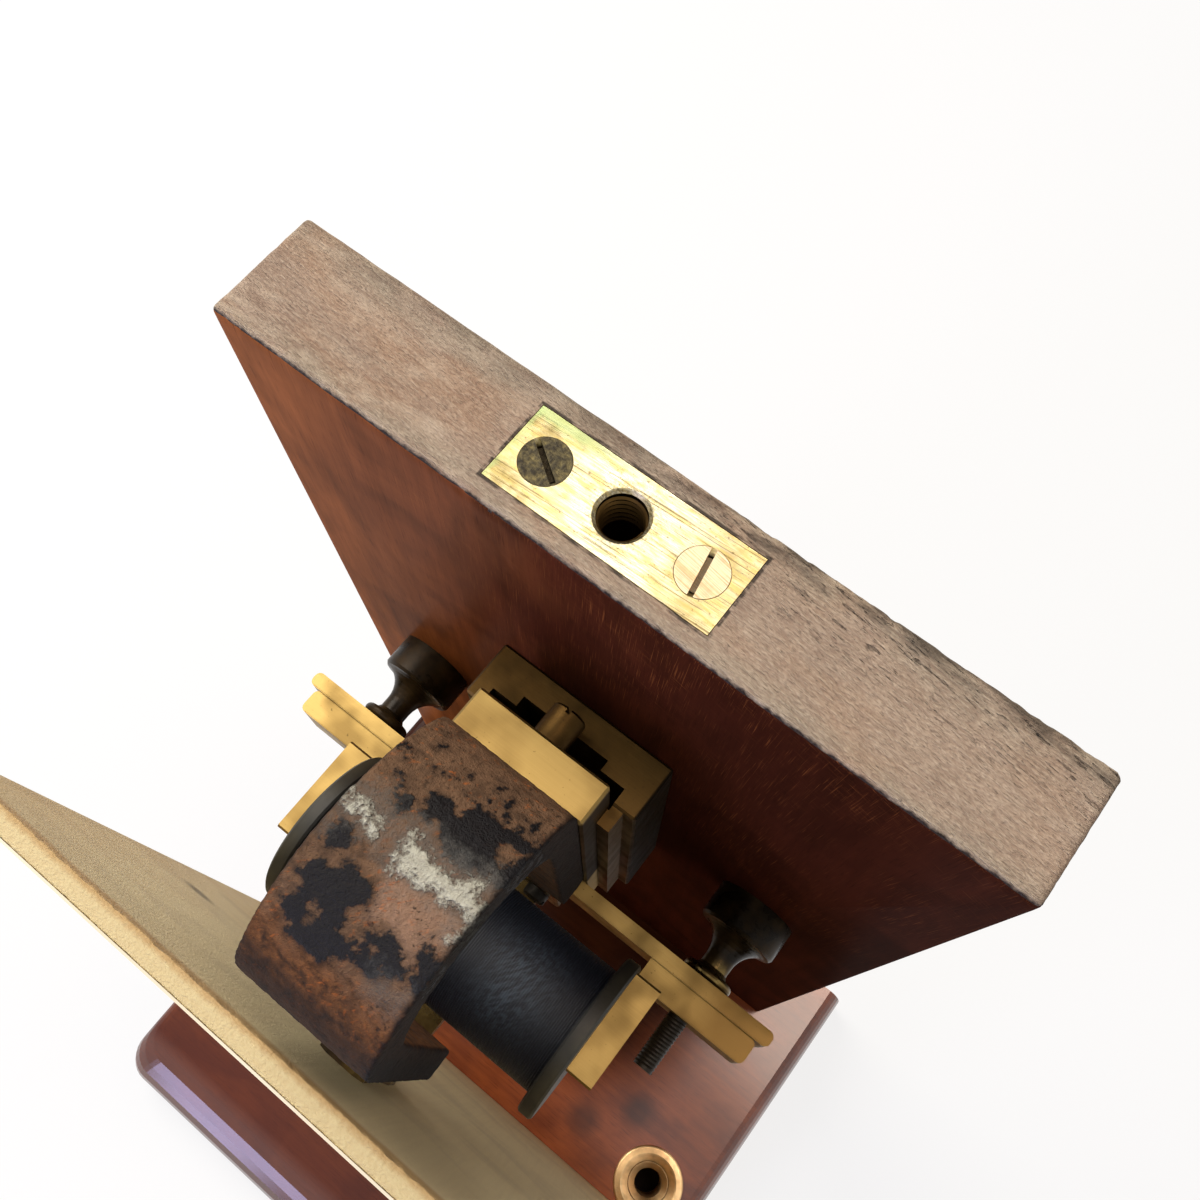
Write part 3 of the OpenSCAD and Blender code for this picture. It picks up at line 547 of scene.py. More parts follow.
def painted_dial_board():
    """Softwood dial board in cream oil paint, made with a brush.

    The paint has yellowed on the edge, where fibres stand up through it, and greyed on the
    back. A brown bloom runs along the top of the back, and there are a few round stains.
    """
    paint = colours()
    finish, tree, shader = new_finish("painted_dial_board", Specular_IOR_Level=0.3)
    high = box_mm("dial_board")[1]
    flecks = spots(tree, (0.7, 0.7, 0.7), 0.35, 0.7, detail=4)
    fibres = spots(tree, (0.5, 0.24, 0.5), 0.35, 0.65, detail=3)
    strokes = spots(tree, (0.8, 0.8, 26), 0.35, 0.65)
    stain = spots(tree, (26, 26, 20), 0.46, 0.66, detail=4, swirl=0.6)
    edge = slope(tree, "Z", high.z - 0.8, high.z - 0.3)
    lip = slope(tree, "Z", high.z - 4.4, high.z - 1.6, ragged=1.6, size=(9, 9, 3))
    brown = slope(tree, "X", -36, -74, ragged=16, size=(16, 16, 16))
    broken = product(
        tree, slope(tree, "Y", high.y - 1, high.y - 0.1, ragged=0.7, size=(1.1, 1.1, 1.1)), edge
    )
    spot = round_mark(tree, (-59, high.y, 132), 2.0, 1.6)
    back = layers(
        tree,
        paint.dial_stone,
        (stain, 0.2, paint.bare_brown),
        (between(tree, strokes, 0.06, 0), paint.bare_brown),
        (brown, 0.55, paint.dial_tan),
        (lip, 0.8, paint.dial_tan),
        (spot, 0.6, paint.brass_dark),
    )
    cream = layers(
        tree,
        paint.dial_cream,
        (between(tree, flecks, 0.22, 0), paint.dial_tan),
        (broken, 0.7, paint.dial_tan),
    )
    set_inputs(
        tree,
        shader,
        {
            "Base Color": layers(tree, back, (edge, cream)),
            "Roughness": between(tree, flecks, 0.62, 0.8),
            "Normal": relief(tree, (fibres, 0.06), (flecks, 0.05), (strokes, 0.015)),
        },
    )
    return finish


# Materials: brass


def filed_brass():
    """Cast brass bars filed flat, draw-finished and left bare.

    It is a satin, warm yellow. File lines run along each bar, and fingers have left brown
    clouds. Dirt stays in the lines. The upright bar below its top is painted dark and not
    metallic, as painted shade, and the brass is darker towards the right.
    """
    paint = colours()
    finish, tree, shader = new_finish("filed_brass", Specular_IOR_Level=0.05)
    lines = spots(tree, (14, 0.2, 0.2), 0.3, 0.7, detail=3)
    cloud = spots(tree, (9, 9, 9), 0.42, 0.66, detail=2)
    specks = spots(tree, (0.7, 0.7, 0.7), 0.7, 0.74)
    top, foot = box_mm("upright_bar")[1].z, box_mm("cross_strip")[1].z
    # Painted shade: the upright bar below its top is painted dark and not metallic.
    sides = product(
        tree,
        slope(tree, "Z", top - 0.7, top - 2.2, ragged=0.5),
        slope(tree, "Z", foot, foot + 1),
        slope(tree, "X", 14, 13),
        slope(tree, "X", -14, -13),
    )
    # Darker towards the right.
    darker_right = slope(tree, "X", 34, 50, ragged=6, size=(9, 9, 9))
    tint = layers(
        tree,
        paint.brass,
        (cloud, 0.4, paint.brass_dull),
        (darker_right, 0.85, paint.brass_dull),
        (sides, paint.brass_dark),
        (between(tree, lines, 0.12, 0), paint.brass_dull),
        (specks, 0.5, paint.brass_dark),
    )
    set_inputs(
        tree,
        shader,
        {
            "Base Color": tint,
            "Metallic": between(tree, sides, 1, 0),
            "Roughness": between(tree, cloud, 0.42, 0.55),
            "Normal": relief(tree, (lines, 0.004), (cloud, 0.03)),
        },
    )
    return finish


def scraped_nut_plate():
    """Sheet brass let in flush and scraped level with the wood, so it has long bright scratches.

    Tarnish has crept in from the left end, with green verdigris where the brass meets the
    damp wood.
    """
    paint = colours()
    finish, tree, shader = new_finish("scraped_nut_plate", Metallic=1.0)
    low, high = box_mm("nut_plate")
    scratches = spots(tree, (8, 0.13, 0.3), 0.4, 0.6, turn=(0, 0, 2), detail=4)
    deep = spots(tree, (16, 0.22, 0.3), 0.6, 0.68, turn=(0, 0, 3), at=(3, 1, 0))
    cloud = spots(tree, (3.0, 2.2, 3), 0.42, 0.64, detail=6)
    hole = Vector(((low.x + high.x) / 2, (low.y + high.y) / 2, high.z))
    left = slope(tree, "X", low.x + 16, low.x + 5, ragged=5, size=(3, 3, 3))
    right = slope(tree, "X", high.x - 9, high.x - 1, ragged=5, size=(3, 3, 3))
    rear = slope(tree, "Y", high.y - 1.6, high.y - 0.6, ragged=0.9, size=(0.7, 0.7, 0.7))
    end = slope(tree, "X", low.x + 1.3, low.x + 0.6, ragged=0.8, size=(0.7, 0.7, 0.7))
    rear_green = product(tree, rear, slope(tree, "X", low.x + 20, low.x + 9, ragged=3))
    dots = spots(tree, (0.5, 0.5, 0.5), 0.63, 0.7)
    burnt = spots(tree, (3.4, 0.9, 2), 0.46, 0.62, detail=4, at=(2, 5, 0))
    around = round_mark(tree, hole, 3.7, 0.08)
    dirt = product(tree, round_mark(tree, hole, 3.9, 0.5), spots(tree, (0.4, 0.4, 0.4), 0.48, 0.6))
    tint = layers(
        tree,
        paint.brass_pale,
        (product(tree, either(tree, left, right), between(tree, cloud, 0.6, 1)), paint.brass_olive),
        (burnt, 0.7, paint.brass_yellow),
        (product(tree, right, between(tree, cloud, 0, 0.4)), paint.bare_brown),
        (between(tree, scratches, 0.5, 0), paint.brass_yellow),
        (product(tree, left, between(tree, cloud, 0.3, 0.6)), paint.ebonite_olive),
        (deep, 0.6, paint.brass_dull),
        (dots, 0.6, paint.brass_dull),
        (around, 0.6, paint.brass_dull),
        (dirt, 0.4, paint.brass_dark),
        # Painted shade: the plate below its top face, and the wall of its hole, are painted dark.
        (slope(tree, "Z", high.z - 0.5, high.z - 0.9), paint.brass_dark),
        (rear_green, 0.75, paint.verdigris),
        (end, 0.6, paint.verdigris),
    )
    set_inputs(
        tree,
        shader,
        {
            "Base Color": tint,
            "Roughness": between(tree, left, 0.3, 0.45),
            "Normal": relief(tree, (scratches, 0.014), (deep, -0.03), (cloud, 0.01)),
        },
    )
    return finish


def handled_brass():
    """Cast and turned brass under a brown film of old lacquer and smoke.

    The film dulls the metal and turns it brown. The side away from the window is painted dark
    brown and not metallic, as painted shade.
    """
    paint = colours()
    finish, tree, shader = new_finish("handled_brass", Specular_IOR_Level=0.05)
    cloud = spots(tree, (6, 6, 6), 0.4, 0.66, detail=2)
    lines = spots(tree, (9, 0.3, 0.3), 0.3, 0.7)
    specks = spots(tree, (0.5, 0.5, 0.5), 0.62, 0.72)
    edge = box_mm("stand_off_bracket")[1].x
    # Painted shade: the side away from the window is painted dark brown and not metallic.
    painted_shade = slope(tree, "X", edge - 0.6, edge - 0.2)
    tint = layers(
        tree,
        paint.brass_dull,
        (cloud, 0.5, paint.brass_dark),
        (between(tree, lines, 0.1, 0), paint.brass_dark),
        (specks, 0.4, paint.grime),
        (painted_shade, paint.brass_dark),
    )
    set_inputs(
        tree,
        shader,
        {
            "Base Color": tint,
            "Metallic": between(tree, painted_shade, 1, 0),
            "Roughness": between(tree, cloud, 0.38, 0.55),
            "Normal": relief(tree, (lines, 0.004), (cloud, 0.03)),
        },
    )
    return finish


def dark_turned_brass():
    """Turned brass pillars and the cast yoke, gone nearly black-brown.

    The lathe left them smooth, so in spite of the dark film they show small, sharp lights. Their
    black-brown is partly tarnish and partly painted shade, and the foot of the right pillar next
    to the strip is painted bright, metallic brass as a painted highlight.
    """
    paint = colours()
    finish, tree, shader = new_finish("dark_turned_brass", Specular_IOR_Level=0.12)
    cloud = spots(tree, (4, 4, 4), 0.4, 0.66, detail=3)
    rings = spots(tree, (0.8, 0.16, 0.8), 0.35, 0.65)
    strip = box_mm("cross_strip")[1].y
    # Painted highlight: the right pillar's foot by the strip is painted bright, metallic brass.
    rubbed = product(tree, slope(tree, "Y", strip + 7, strip + 3, ragged=2), slope(tree, "X", 0, 1))
    tint = layers(
        tree,
        paint.brass_dark,
        (product(tree, rubbed, between(tree, cloud, 0.6, 0.2)), paint.brass),
        (cloud, 0.35, paint.brass_dull),
        (between(tree, rings, 0.2, 0), paint.grime),
    )
    set_inputs(
        tree,
        shader,
        {
            "Base Color": tint,
            "Metallic": between(tree, rubbed, 0.15, 1),
            "Roughness": between(tree, cloud, 0.26, 0.42),
            "Normal": relief(tree, (rings, 0.006)),
        },
    )
    return finish


def turned_brass():
    """Turned brass of cups, collets and small screws, bright with a light tarnish.

    The countersinks of the cups are painted dark towards the hole, as painted shade.
    """
    paint = colours()
    finish, tree, shader = new_finish("turned_brass", Metallic=1.0)
    cloud = spots(tree, (3.5, 3.5, 3.5), 0.42, 0.66, detail=3)
    low, high = box_mm("right_screw_cup")
    middle = (low + high) / 2
    # Painted shade: the countersinks of the cups are painted dark towards the hole.
    countersink_shade = either(
        tree,
        round_mark(tree, (middle.x, middle.y, high.z), 4.4, 0.6),
        round_mark(tree, (-middle.x, middle.y, high.z), 4.4, 0.6),
    )
    tint = layers(
        tree,
        paint.brass_warm,
        (cloud, 0.35, paint.brass_dull),
        (countersink_shade, 0.85, paint.brass_dark),
    )
    set_inputs(
        tree,
        shader,
        {
            "Base Color": tint,
            "Roughness": between(tree, cloud, 0.38, 0.5),
            "Normal": relief(tree, (cloud, 0.02)),
        },
    )
    return finish


def nut_plate_screw_brass():
    """Two brass screws of the nut plate: the left one black with dirt, the right one filed flush.

    Both were cut from the same rod, but only the right one was scraped with the plate.
    """
    paint = colours()
    finish, tree, shader = new_finish("nut_plate_screw_brass", Metallic=0.9)
    dirty = slope(tree, "X", 1, -1)
    crust = spots(tree, (0.7, 0.7, 0.7), 0.3, 0.7, detail=5)
    scratches = spots(tree, (11, 0.16, 0.3), 0.38, 0.62, turn=(0, 0, -8), detail=4)
    top = box_mm("nut_plate")[1].z
    # Painted shade: the screws' slots are painted dark.
    slot = slope(tree, "Z", top - 0.35, top - 0.7)
    tint = layers(
        tree,
        paint.brass_warm,
        (crust, 0.35, paint.bare_brown),
        (scratches, 0.6, paint.brass_pale),
        (dirty, paint.ebonite_olive),
        (product(tree, dirty, between(tree, crust, 0.14, 0)), paint.brass_yellow),
        (product(tree, dirty, between(tree, crust, 0, 0.8)), paint.grime),
        (slot, 0.8, paint.brass_dark),
    )
    set_inputs(
        tree,
        shader,
        {
            "Base Color": tint,
            "Roughness": between(tree, dirty, 0.3, 0.55),
            "Normal": relief(tree, (scratches, 0.012), (product(tree, crust, dirty), 0.12)),
        },
    )
    return finish


# Materials: magnet, coils and steel


def rusty_magnet_steel():
    """Hardened magnet steel that was brush-painted blue-black and has rusted through.

    Matt brown rust with orange grains stands between thin islands of paint that still have
    some gloss. A cream crust of lime crosses the crown in a grey haze, and the front end has
    rusted orange-brown. The amounts come from the piece's own attributes, in mm inside each
    patch, so that colour and thickness agree, and fine noise makes their edges ragged.
    """
    paint = colours()
    finish, tree, shader = new_finish("rusty_magnet_steel", Specular_IOR_Level=0.16)
    grain = spots(tree, (0.5, 0.5, 0.5), 0.25, 0.75, detail=4)
    fine = spots(tree, (0.22, 0.22, 0.22), 0.3, 0.7, detail=2)
    wander = spots(tree, (1.5, 1.5, 1.5), 0.3, 0.7, detail=5, swirl=0.3)

    def coat(attribute, reach, low, high):
        """An amount from an attribute, its edge broken up by noise over a reach in mm."""
        ragged = add_node(tree, "Attribute", attribute_name=attribute).outputs["Fac"]
        for waves in (grain, wander):
            inputs = {0: waves, 1: reach, 2: ragged}
            ragged = add_node(tree, "Math", inputs, operation="MULTIPLY_ADD").outputs[0]
        inputs = {"Value": ragged, "From Min": low + reach / 2, "From Max": high + reach / 2}
        return add_node(tree, "MapRange", inputs).outputs[0]

    painted = coat("old_paint", 0.7, 0.1, 0.6)
    smoked = coat("old_paint", 1.4, -0.9, 1.2)
    limed = coat("lime", 1.4, 0.0, 1.3)
    misty = coat("lime", 2.2, -1.8, 1.4)
    hazed = coat("haze", 1.6, -0.6, 2.2)
    bloomed = coat("bloom", 1.2, -0.8, 1.2)
    mottle = spots(tree, (2.2, 1.6, 2.2), 0.42, 0.68, detail=5, swirl=0.4)
    face, side = box_mm("magnet")[0].y, box_mm("magnet")[1].x
    front = slope(tree, "Y", face + 12.9, face + 7.9, ragged=3.5, size=(4, 4, 4))
    rim = slope(tree, "Y", face + 8.2, face + 4, ragged=2.6, size=(2.2, 2.2, 2.2))
    # Painted shade: both side faces are painted blue-black like the old paint.
    sides = either(
        tree,
        slope(tree, "X", side - 0.8, side + 0.1, 0.7, (1.5, 1.5, 1.5)),
        slope(tree, "X", 0.5 - side, -0.1 - side),
    )
    arris = product(
        tree,
        slope(tree, "X", 1.8 - side, 0.4 - side, 1.4, (1.8, 1.8, 1.8)),
        slope(tree, "Y", 22, 14),
    )
    glow = product(
        tree,
        spots(tree, (1.6, 0.6, 0.7), 0.57, 0.7, turn=(0, 0, 50), detail=5),
        spots(tree, (6, 6, 6), 0.44, 0.6, at=(3, 3, 3)),
    )
    pitted = product(
        tree, spots(tree, (0.8, 0.8, 0.8), 0.6, 0.7), spots(tree, (8, 8, 8), 0.4, 0.6)
    )
    crusted = product(tree, limed, between(tree, wander, 0.62, 1), between(tree, grain, 0.6, 1))
    glossy = product(tree, painted, between(tree, limed, 1, 0))
    skin = layers(
        tree,
        paint.rust_brown,
        (mottle, 0.5, paint.rust_dark),
        (bloomed, 0.6, paint.rust_pink),
        (front, 0.78, paint.rust_orange),
        (product(tree, front, mottle), 0.9, paint.rust_dark),
        (between(tree, grain, 0.3, 0), paint.rust_dark),
        (glow, 0.7, paint.rust_fresh),
        (pitted, 0.8, paint.rust_dark),
        (smoked, 0.45, paint.old_paint),
        (painted, 0.97, paint.old_paint),
        (product(tree, hazed, between(tree, fine, 0.2, 0.6)), paint.haze),
        (misty, 0.45, paint.iron),
        (crusted, paint.lime),
        (rim, 0.85, paint.rust_dark),
        (arris, 0.75, paint.rust_dark),
        (sides, 0.9, paint.old_paint),
    )
    set_inputs(
        tree,
        shader,
        {
            "Base Color": skin,
            "Roughness": between(tree, glossy, 0.8, 0.5),
            "Normal": relief(tree, (grain, 0.16), (fine, 0.08), (painted, 0.05), (limed, 0.2)),
        },
    )
    return finish


def turned_ebonite():
    """Turned ebonite of the bobbins: hard rubber, dull black, gone olive-grey on the rims."""
    paint = colours()
    finish, tree, shader = new_finish("turned_ebonite", Specular_IOR_Level=0.4, Roughness=0.5)
    cloud = spots(tree, (7, 7, 7), 0.4, 0.62, detail=3)
    rings = spots(tree, (0.2, 1.4, 1.4), 0.35, 0.65)
    edge = box_mm("right_bobbin")[1].x
    outer = either(
        tree, slope(tree, "X", edge - 3.2, edge - 1), slope(tree, "X", 3.2 - edge, 1 - edge)
    )
    tint = layers(
        tree,
        paint.ebonite,
        (product(tree, outer, between(tree, cloud, 0.3, 0.8)), paint.ebonite_olive),
    )
    set_inputs(tree, shader, {"Base Color": tint, "Normal": relief(tree, (rings, 0.01))})
    return finish


def silk_covered_wire():
    """Copper wire lapped with dark blue silk, in close turns.

    Silk has a soft sheen across its threads. Faint slanting streaks all over, and the tops of the
    turns near the middle of each coil, are painted paler as a painted sheen. The lapping shows as
    a fine slant on each turn.
    """
    paint = colours()
    finish, tree, shader = new_finish(
        "silk_covered_wire",
        Specular_IOR_Level=0.3,
        Roughness=0.42,
        Sheen_Weight=0.06,
        Sheen_Roughness=0.4,
        Sheen_Tint=linear("#8fa0c0"),
    )
    lapping = spots(tree, (0.4, 0.16, 0.16), 0.35, 0.65, turn=(0, 0, 20))
    streaks = spots(tree, (2.2, 0.5, 0.5), 0.42, 0.62, turn=(0, 0, 62), detail=3)
    patches = spots(tree, (7, 5, 5), 0.4, 0.6)
    low, high = box_mm("right_winding")
    middle = (low + high) / 2
    # Painted sheen: the tops of the turns near the middle of each coil are painted paler.
    crest = slope(tree, "Z", middle.z + 8.5, high.z)
    rubbed = product(
        tree, crest, either(tree, near(tree, "X", -middle.x, 9), near(tree, "X", middle.x, 9))
    )
    tint = layers(
        tree,
        paint.silk,
        (between(tree, lapping, 0.2, 0), paint.signal_black),
        # Painted sheen: faint slanting streaks all over are painted paler.
        (product(tree, streaks, between(tree, patches, 0.02, 0.1)), paint.silk_worn),
        (product(tree, rubbed, between(tree, streaks, 0.15, 1)), paint.silk_worn),
    )
    set_inputs(tree, shader, {"Base Color": tint, "Normal": relief(tree, (lapping, 0.03))})
    return finish


def annealed_iron():
    """Annealed soft iron of the cores, with a thin grey-brown scale."""
    paint = colours()
    finish, tree, shader = new_finish("annealed_iron", Metallic=0.8, Roughness=0.5)
    cloud = spots(tree, (2, 2, 2), 0.4, 0.65, detail=4)
    tint = layers(tree, paint.iron, (cloud, 0.6, paint.rust_dark))
    set_inputs(tree, shader, {"Base Color": tint, "Normal": relief(tree, (cloud, 0.03))})
    return finish


def darkened_steel():
    """Oil-blacked steel of screws, with a brown tinge and a dull shine."""
    paint = colours()
    finish, tree, shader = new_finish(
        "darkened_steel", Metallic=0.5, Specular_IOR_Level=0.2, Roughness=0.5
    )
    cloud = spots(tree, (1.5, 1.5, 1.5), 0.4, 0.65, detail=4)
    tint = layers(tree, paint.steel, (cloud, 0.7, paint.rust_dark))
    set_inputs(tree, shader, {"Base Color": tint, "Normal": relief(tree, (cloud, 0.02))})
    return finish


def polished_steel():
    """Polished steel of the arbor and iron of its needle, with fine polishing rings."""
    paint = colours()
    finish, tree, shader = new_finish("polished_steel", Metallic=1.0)
    rings = spots(tree, (0.6, 0.1, 0.6), 0.35, 0.65)
    tint = layers(tree, paint.bright_steel, (between(tree, rings, 0.25, 0), paint.iron))
    set_inputs(tree, shader, {"Base Color": tint, "Roughness": between(tree, rings, 0.3, 0.2)})
    return finish


# Materials: enamel of the dial and the arm


def dial_enamel():
    """Stove enamel on the thin sheet of the dial, with a signal post painted on it.

    It is glossy and cream, a little yellow in clouds. The post carries the arm: a white post
    with black edges and a finial, on a black foot, as on a full-sized signal.
    """
    paint = colours()
    finish, tree, shader = new_finish(
        "dial_enamel", Roughness=0.3, Coat_Weight=0.2, Coat_Roughness=0.1
    )
    low, high = box_mm("dial_face")
    front, back, middle = low.y - 1, high.y + 1, (low.y + high.y) / 2
    rim, rim_foot, rim_line = 7, 26, 0.9
    foot_z, post_z, band_z, cap_z, ball_z, tip_z = 38, 44, 62, 206, 211, 214.8
    post_half, foot_half, cap_half, post_line = 4.2, 14, 6.2, 0.7
    cloud = spots(tree, (30, 30, 30), 0.4, 0.65, detail=4)

    def framed(inset):
        """The dial's middle, inside a frame that follows its edge."""
        side, foot = rim + inset, rim_foot + inset
        return box_mark(tree, (low.x + side, front, foot), (high.x - side, back, high.z - side))

    def upright(half, start, end):
        """A standing bar of the post, given by half its width and its two heights."""
        return box_mark(tree, (-half, front, start), (half, back, end))

    line = product(tree, framed(0), between(tree, framed(rim_line), 1, 0))
    post = upright(post_half, post_z, cap_z)
    white = upright(post_half - post_line, post_z, cap_z - post_line)
    foot = upright(foot_half, foot_z, post_z)
    band = upright(post_half, post_z, band_z)
    cap = upright(cap_half, cap_z, cap_z + 2)
    ball = round_mark(tree, (0, middle, ball_z), 2.6, 0.06)
    tip = round_mark(tree, (0, middle, tip_z), 1.0, 0.1, (1, 1, 2.4))
    face = layers(
        tree,
        paint.dial_white,
        (cloud, 0.35, paint.dial_cream),
        (line, paint.signal_black),
        (post, paint.signal_black),
        (white, paint.floor),
        *((mark, paint.signal_black) for mark in (band, foot, cap, ball, tip)),
    )
    set_inputs(tree, shader, {"Base Color": face, "Normal": relief(tree, (cloud, 0.05))})
    return finish


def arm_enamel(front):
    """Red enamel on the sheet aluminium arm, with the white stripe near its tip.

    It is brushed enamel, so it is glossy with faint brush lines along the arm.
    """
    paint = colours()
    finish, tree, shader = new_finish(
        "arm_enamel", Roughness=0.28, Coat_Weight=0.5, Coat_Roughness=0.1
    )
    droop, arbor = 20, (0, 0, 184)
    strokes = spots(tree, (12, 0.5, 0.5), 0.35, 0.65, turn=(0, -droop, 0))
    low, high = (-48, front - 2, 150), (-42.5, front + 2, 220)
    stripe = box_mark(tree, low, high, 0.06, -droop, arbor)
    chips = product(
        tree, spots(tree, (0.8, 0.8, 0.8), 0.64, 0.68), spots(tree, (9, 9, 9), 0.5, 0.6)
    )
    tint = layers(
        tree,
        paint.signal_red,
        (stripe, paint.dial_white),
        (between(tree, strokes, 0.08, 0), paint.signal_black),
        (chips, 0.8, paint.iron),
    )
    set_inputs(tree, shader, {"Base Color": tint, "Normal": relief(tree, (strokes, 0.01))})
    return finish


# Materials: floor and room


def seen_directly(tree):
    """1 for rays from the camera, from a mirror or through glass, and 0 for those that light."""
    path = add_node(tree, "LightPath").outputs
    return either(tree, path["Is Camera Ray"], path["Is Glossy Ray"], path["Is Transmission Ray"])


def pale_floor():
    """Matt white paper, seen nearly as a white ground, that still takes the part's shadow."""
    paint = colours()
    finish = bpy.data.materials.new("pale_floor")
    finish.use_nodes = True
    tree = finish.node_tree
    tree.nodes.clear()
    glow = add_node(tree, "Emission", {"Color": (1, 1, 1, 1), "Strength": 1})
    low, high = box_mm("base")
    # Painted shadow: under the base the floor is painted black and doesn't glow; it shows through
    # the bores.
    under = box_mark(tree, low + Vector((6, 14, -9)), high + Vector((-6, -6, 9)))
    paper = add_node(
        tree, "BsdfDiffuse", {"Color": layers(tree, paint.floor, (under, paint.signal_black))}
    )
    seen = product(tree, seen_directly(tree), between(tree, under, 1, 0))
    share = between(tree, seen, 0, 0.8)
    mixed = add_node(tree, "MixShader", {0: share, 1: paper.outputs[0], 2: glow.outputs[0]})
    add_node(tree, "OutputMaterial", {"Surface": mixed.outputs[0]})
    return finish


def soft_room(scene):
    """A white room: plain soft light from all sides, and a white ground behind the part."""
    world = bpy.data.worlds.new("soft_room")
    scene.world = world
    world.use_nodes = True
    tree = world.node_tree
    tree.nodes.clear()
    strength = between(tree, seen_directly(tree), 0.22, 1.0)
    ground = add_node(tree, "Background", {"Color": (1, 1, 1, 1), "Strength": strength})
    add_node(tree, "OutputWorld", {"Surface": ground.outputs[0]})


# Modelling: small helpers


def nothing_selected():
    """Leaves edit mode and deselects every object."""
    if bpy.context.object and bpy.context.object.mode != "OBJECT":
        bpy.ops.object.mode_set(mode="OBJECT")
    bpy.ops.object.select_all(action="DESELECT")


def only(piece):
    """Makes one piece the selected and active one."""
    nothing_selected()
    piece.select_set(True)
    bpy.context.view_layer.objects.active = piece
    return piece


def placed(name=None):
    """Puts the active object's place, turn and scale into its mesh, and names it."""
    bpy.ops.object.transform_apply(location=True, rotation=True, scale=True)
    piece = bpy.context.object
    if name:
        piece.name = piece.data.name = name
    return piece


def finish_modifier(piece, kind, **settings):
    """Adds a modifier with its settings and applies it."""
    only(piece)
    modifier = piece.modifiers.new(kind.lower(), kind)
    for name, value in settings.items():
        setattr(modifier, name, value)
    bpy.ops.object.modifier_apply(modifier=modifier.name)


def select_faces(piece, test):
    """In edit mode, selects the faces whose centre and normal pass a test."""
    bpy.ops.object.mode_set(mode="EDIT")
    bpy.ops.mesh.select_mode(type="FACE")
    bpy.ops.mesh.select_all(action="DESELECT")
    bpy.ops.object.mode_set(mode="OBJECT")
    for face in piece.data.polygons:
        face.select = test(face.center, face.normal)
    bpy.ops.object.mode_set(mode="EDIT")


def smooth(piece, angle=32):
    """Shades a piece smooth, with the edges over an angle left crisp."""
    only(piece)
    bpy.ops.object.shade_smooth_by_angle(angle=radians(angle))


def cut_away(piece, cutters):
    """Cuts the shapes of some other pieces out of a piece, and removes them."""
    for cutter in cutters:
        finish_modifier(piece, "BOOLEAN", object=cutter, operation="DIFFERENCE", solver="EXACT")
        bpy.data.objects.remove(cutter)


def rod(radius, start, end, sides=48):
    """A round rod between two points that share two coordinates, used to cut holes."""
    middle, way = (start + end) / 2, end - start
    turn = way.to_track_quat("Z", "Y").to_euler()
    nothing_selected()
    bpy.ops.mesh.primitive_cylinder_add(
        vertices=sides, radius=radius, depth=way.length, location=middle, rotation=turn
    )
    return placed("rod")


def block(low, high):
    """A plain block between two corners, used to cut a pocket or to start a board."""
    nothing_selected()
    bpy.ops.mesh.primitive_cube_add(size=1, location=(low + high) / 2)
    bpy.context.object.scale = high - low
    return placed("block")


def eased_board(name, low, high, ease, cell, depth):
    """A board with rounded edges, cut into small squares near its top so that it can wear."""
    board = block(low, high)
    board.name = board.data.name = name
    bpy.ops.object.mode_set(mode="EDIT")
    bpy.ops.mesh.select_all(action="SELECT")
    bpy.ops.mesh.bevel(offset=ease, segments=3, profile=0.5, affect="EDGES")
    bpy.ops.mesh.select_all(action="SELECT")
    bpy.ops.mesh.bisect(plane_co=(0, 0, high.z - depth), plane_no=(0, 0, 1))
    for axis in (0, 1):
        flat = high[axis] - low[axis] - 2 * ease
        steps = round(flat / cell)
        for step in range(steps + 1):
            point, way = Vector(), Vector()
            point[axis] = low[axis] + ease + step * flat / steps
            way[axis] = 1
            select_faces(board, lambda centre, normal: centre.z > high.z - depth)
            bpy.ops.mesh.bisect(plane_co=point, plane_no=way)
    bpy.ops.object.mode_set(mode="OBJECT")
    return board


def points(piece):
    """The places of a piece's vertices, in mm."""
    return [vertex.co / MM for vertex in piece.data.vertices]


def wear(piece, name, depth, amounts):
    """Moves each vertex of a piece along its normal by a depth times its amount from 0 to 1."""
    group = piece.vertex_groups.new(name=name)
    for index, amount in enumerate(amounts):
        group.add([index], min(1, max(0, amount)), "REPLACE")
    finish_modifier(
        piece, "DISPLACE", vertex_group=name, strength=depth, mid_level=0, direction="NORMAL"
    )
    piece.vertex_groups.remove(piece.vertex_groups[name])


def lumps(point, size, seed):
    """Smooth noise from about -1 to 1 with lumps of a size in mm."""
    return noise.fractal(point / size + Vector((seed, 7 * seed, 3 * seed)), 1.0, 2.0, 3)


def step_between(low, high, value):
    """A smooth step from 0 at low to 1 at high."""
    t = min(1, max(0, (value - low) / (high - low)))
    return t * t * (3 - 2 * t)


def helix(name, centre, axis, radius, section, sides, pitch, turns, steps):
    """A rod of a few sides wound round an axis, X, Y or Z, from a centre point on that axis."""
    nothing_selected()
    along, out = Vector(), Vector()
    along["XYZ".index(axis)] = 1
    out[2 if axis == "X" else 0] = 1
    bpy.ops.mesh.primitive_circle_add(vertices=sides, radius=section)
    wire = bpy.context.object
    turn = Matrix((out, along, along.cross(out))).transposed().to_4x4()
    wire.matrix_world = Matrix.Translation(out * radius) @ turn
    placed(name)
    finish_modifier(
        wire,
        "SCREW",
        axis=axis,
        angle=tau,
        screw_offset=pitch,
        iterations=turns,
        steps=steps,
        render_steps=steps,
        use_merge_vertices=False,
    )
    bpy.ops.object.mode_set(mode="EDIT")
    bpy.ops.mesh.select_all(action="SELECT")
    bpy.ops.mesh.fill_holes(sides=sides)
    bpy.ops.mesh.select_all(action="SELECT")
    bpy.ops.mesh.normals_make_consistent(inside=False)
    bpy.ops.object.mode_set(mode="OBJECT")
    wire.location = centre
    return placed()


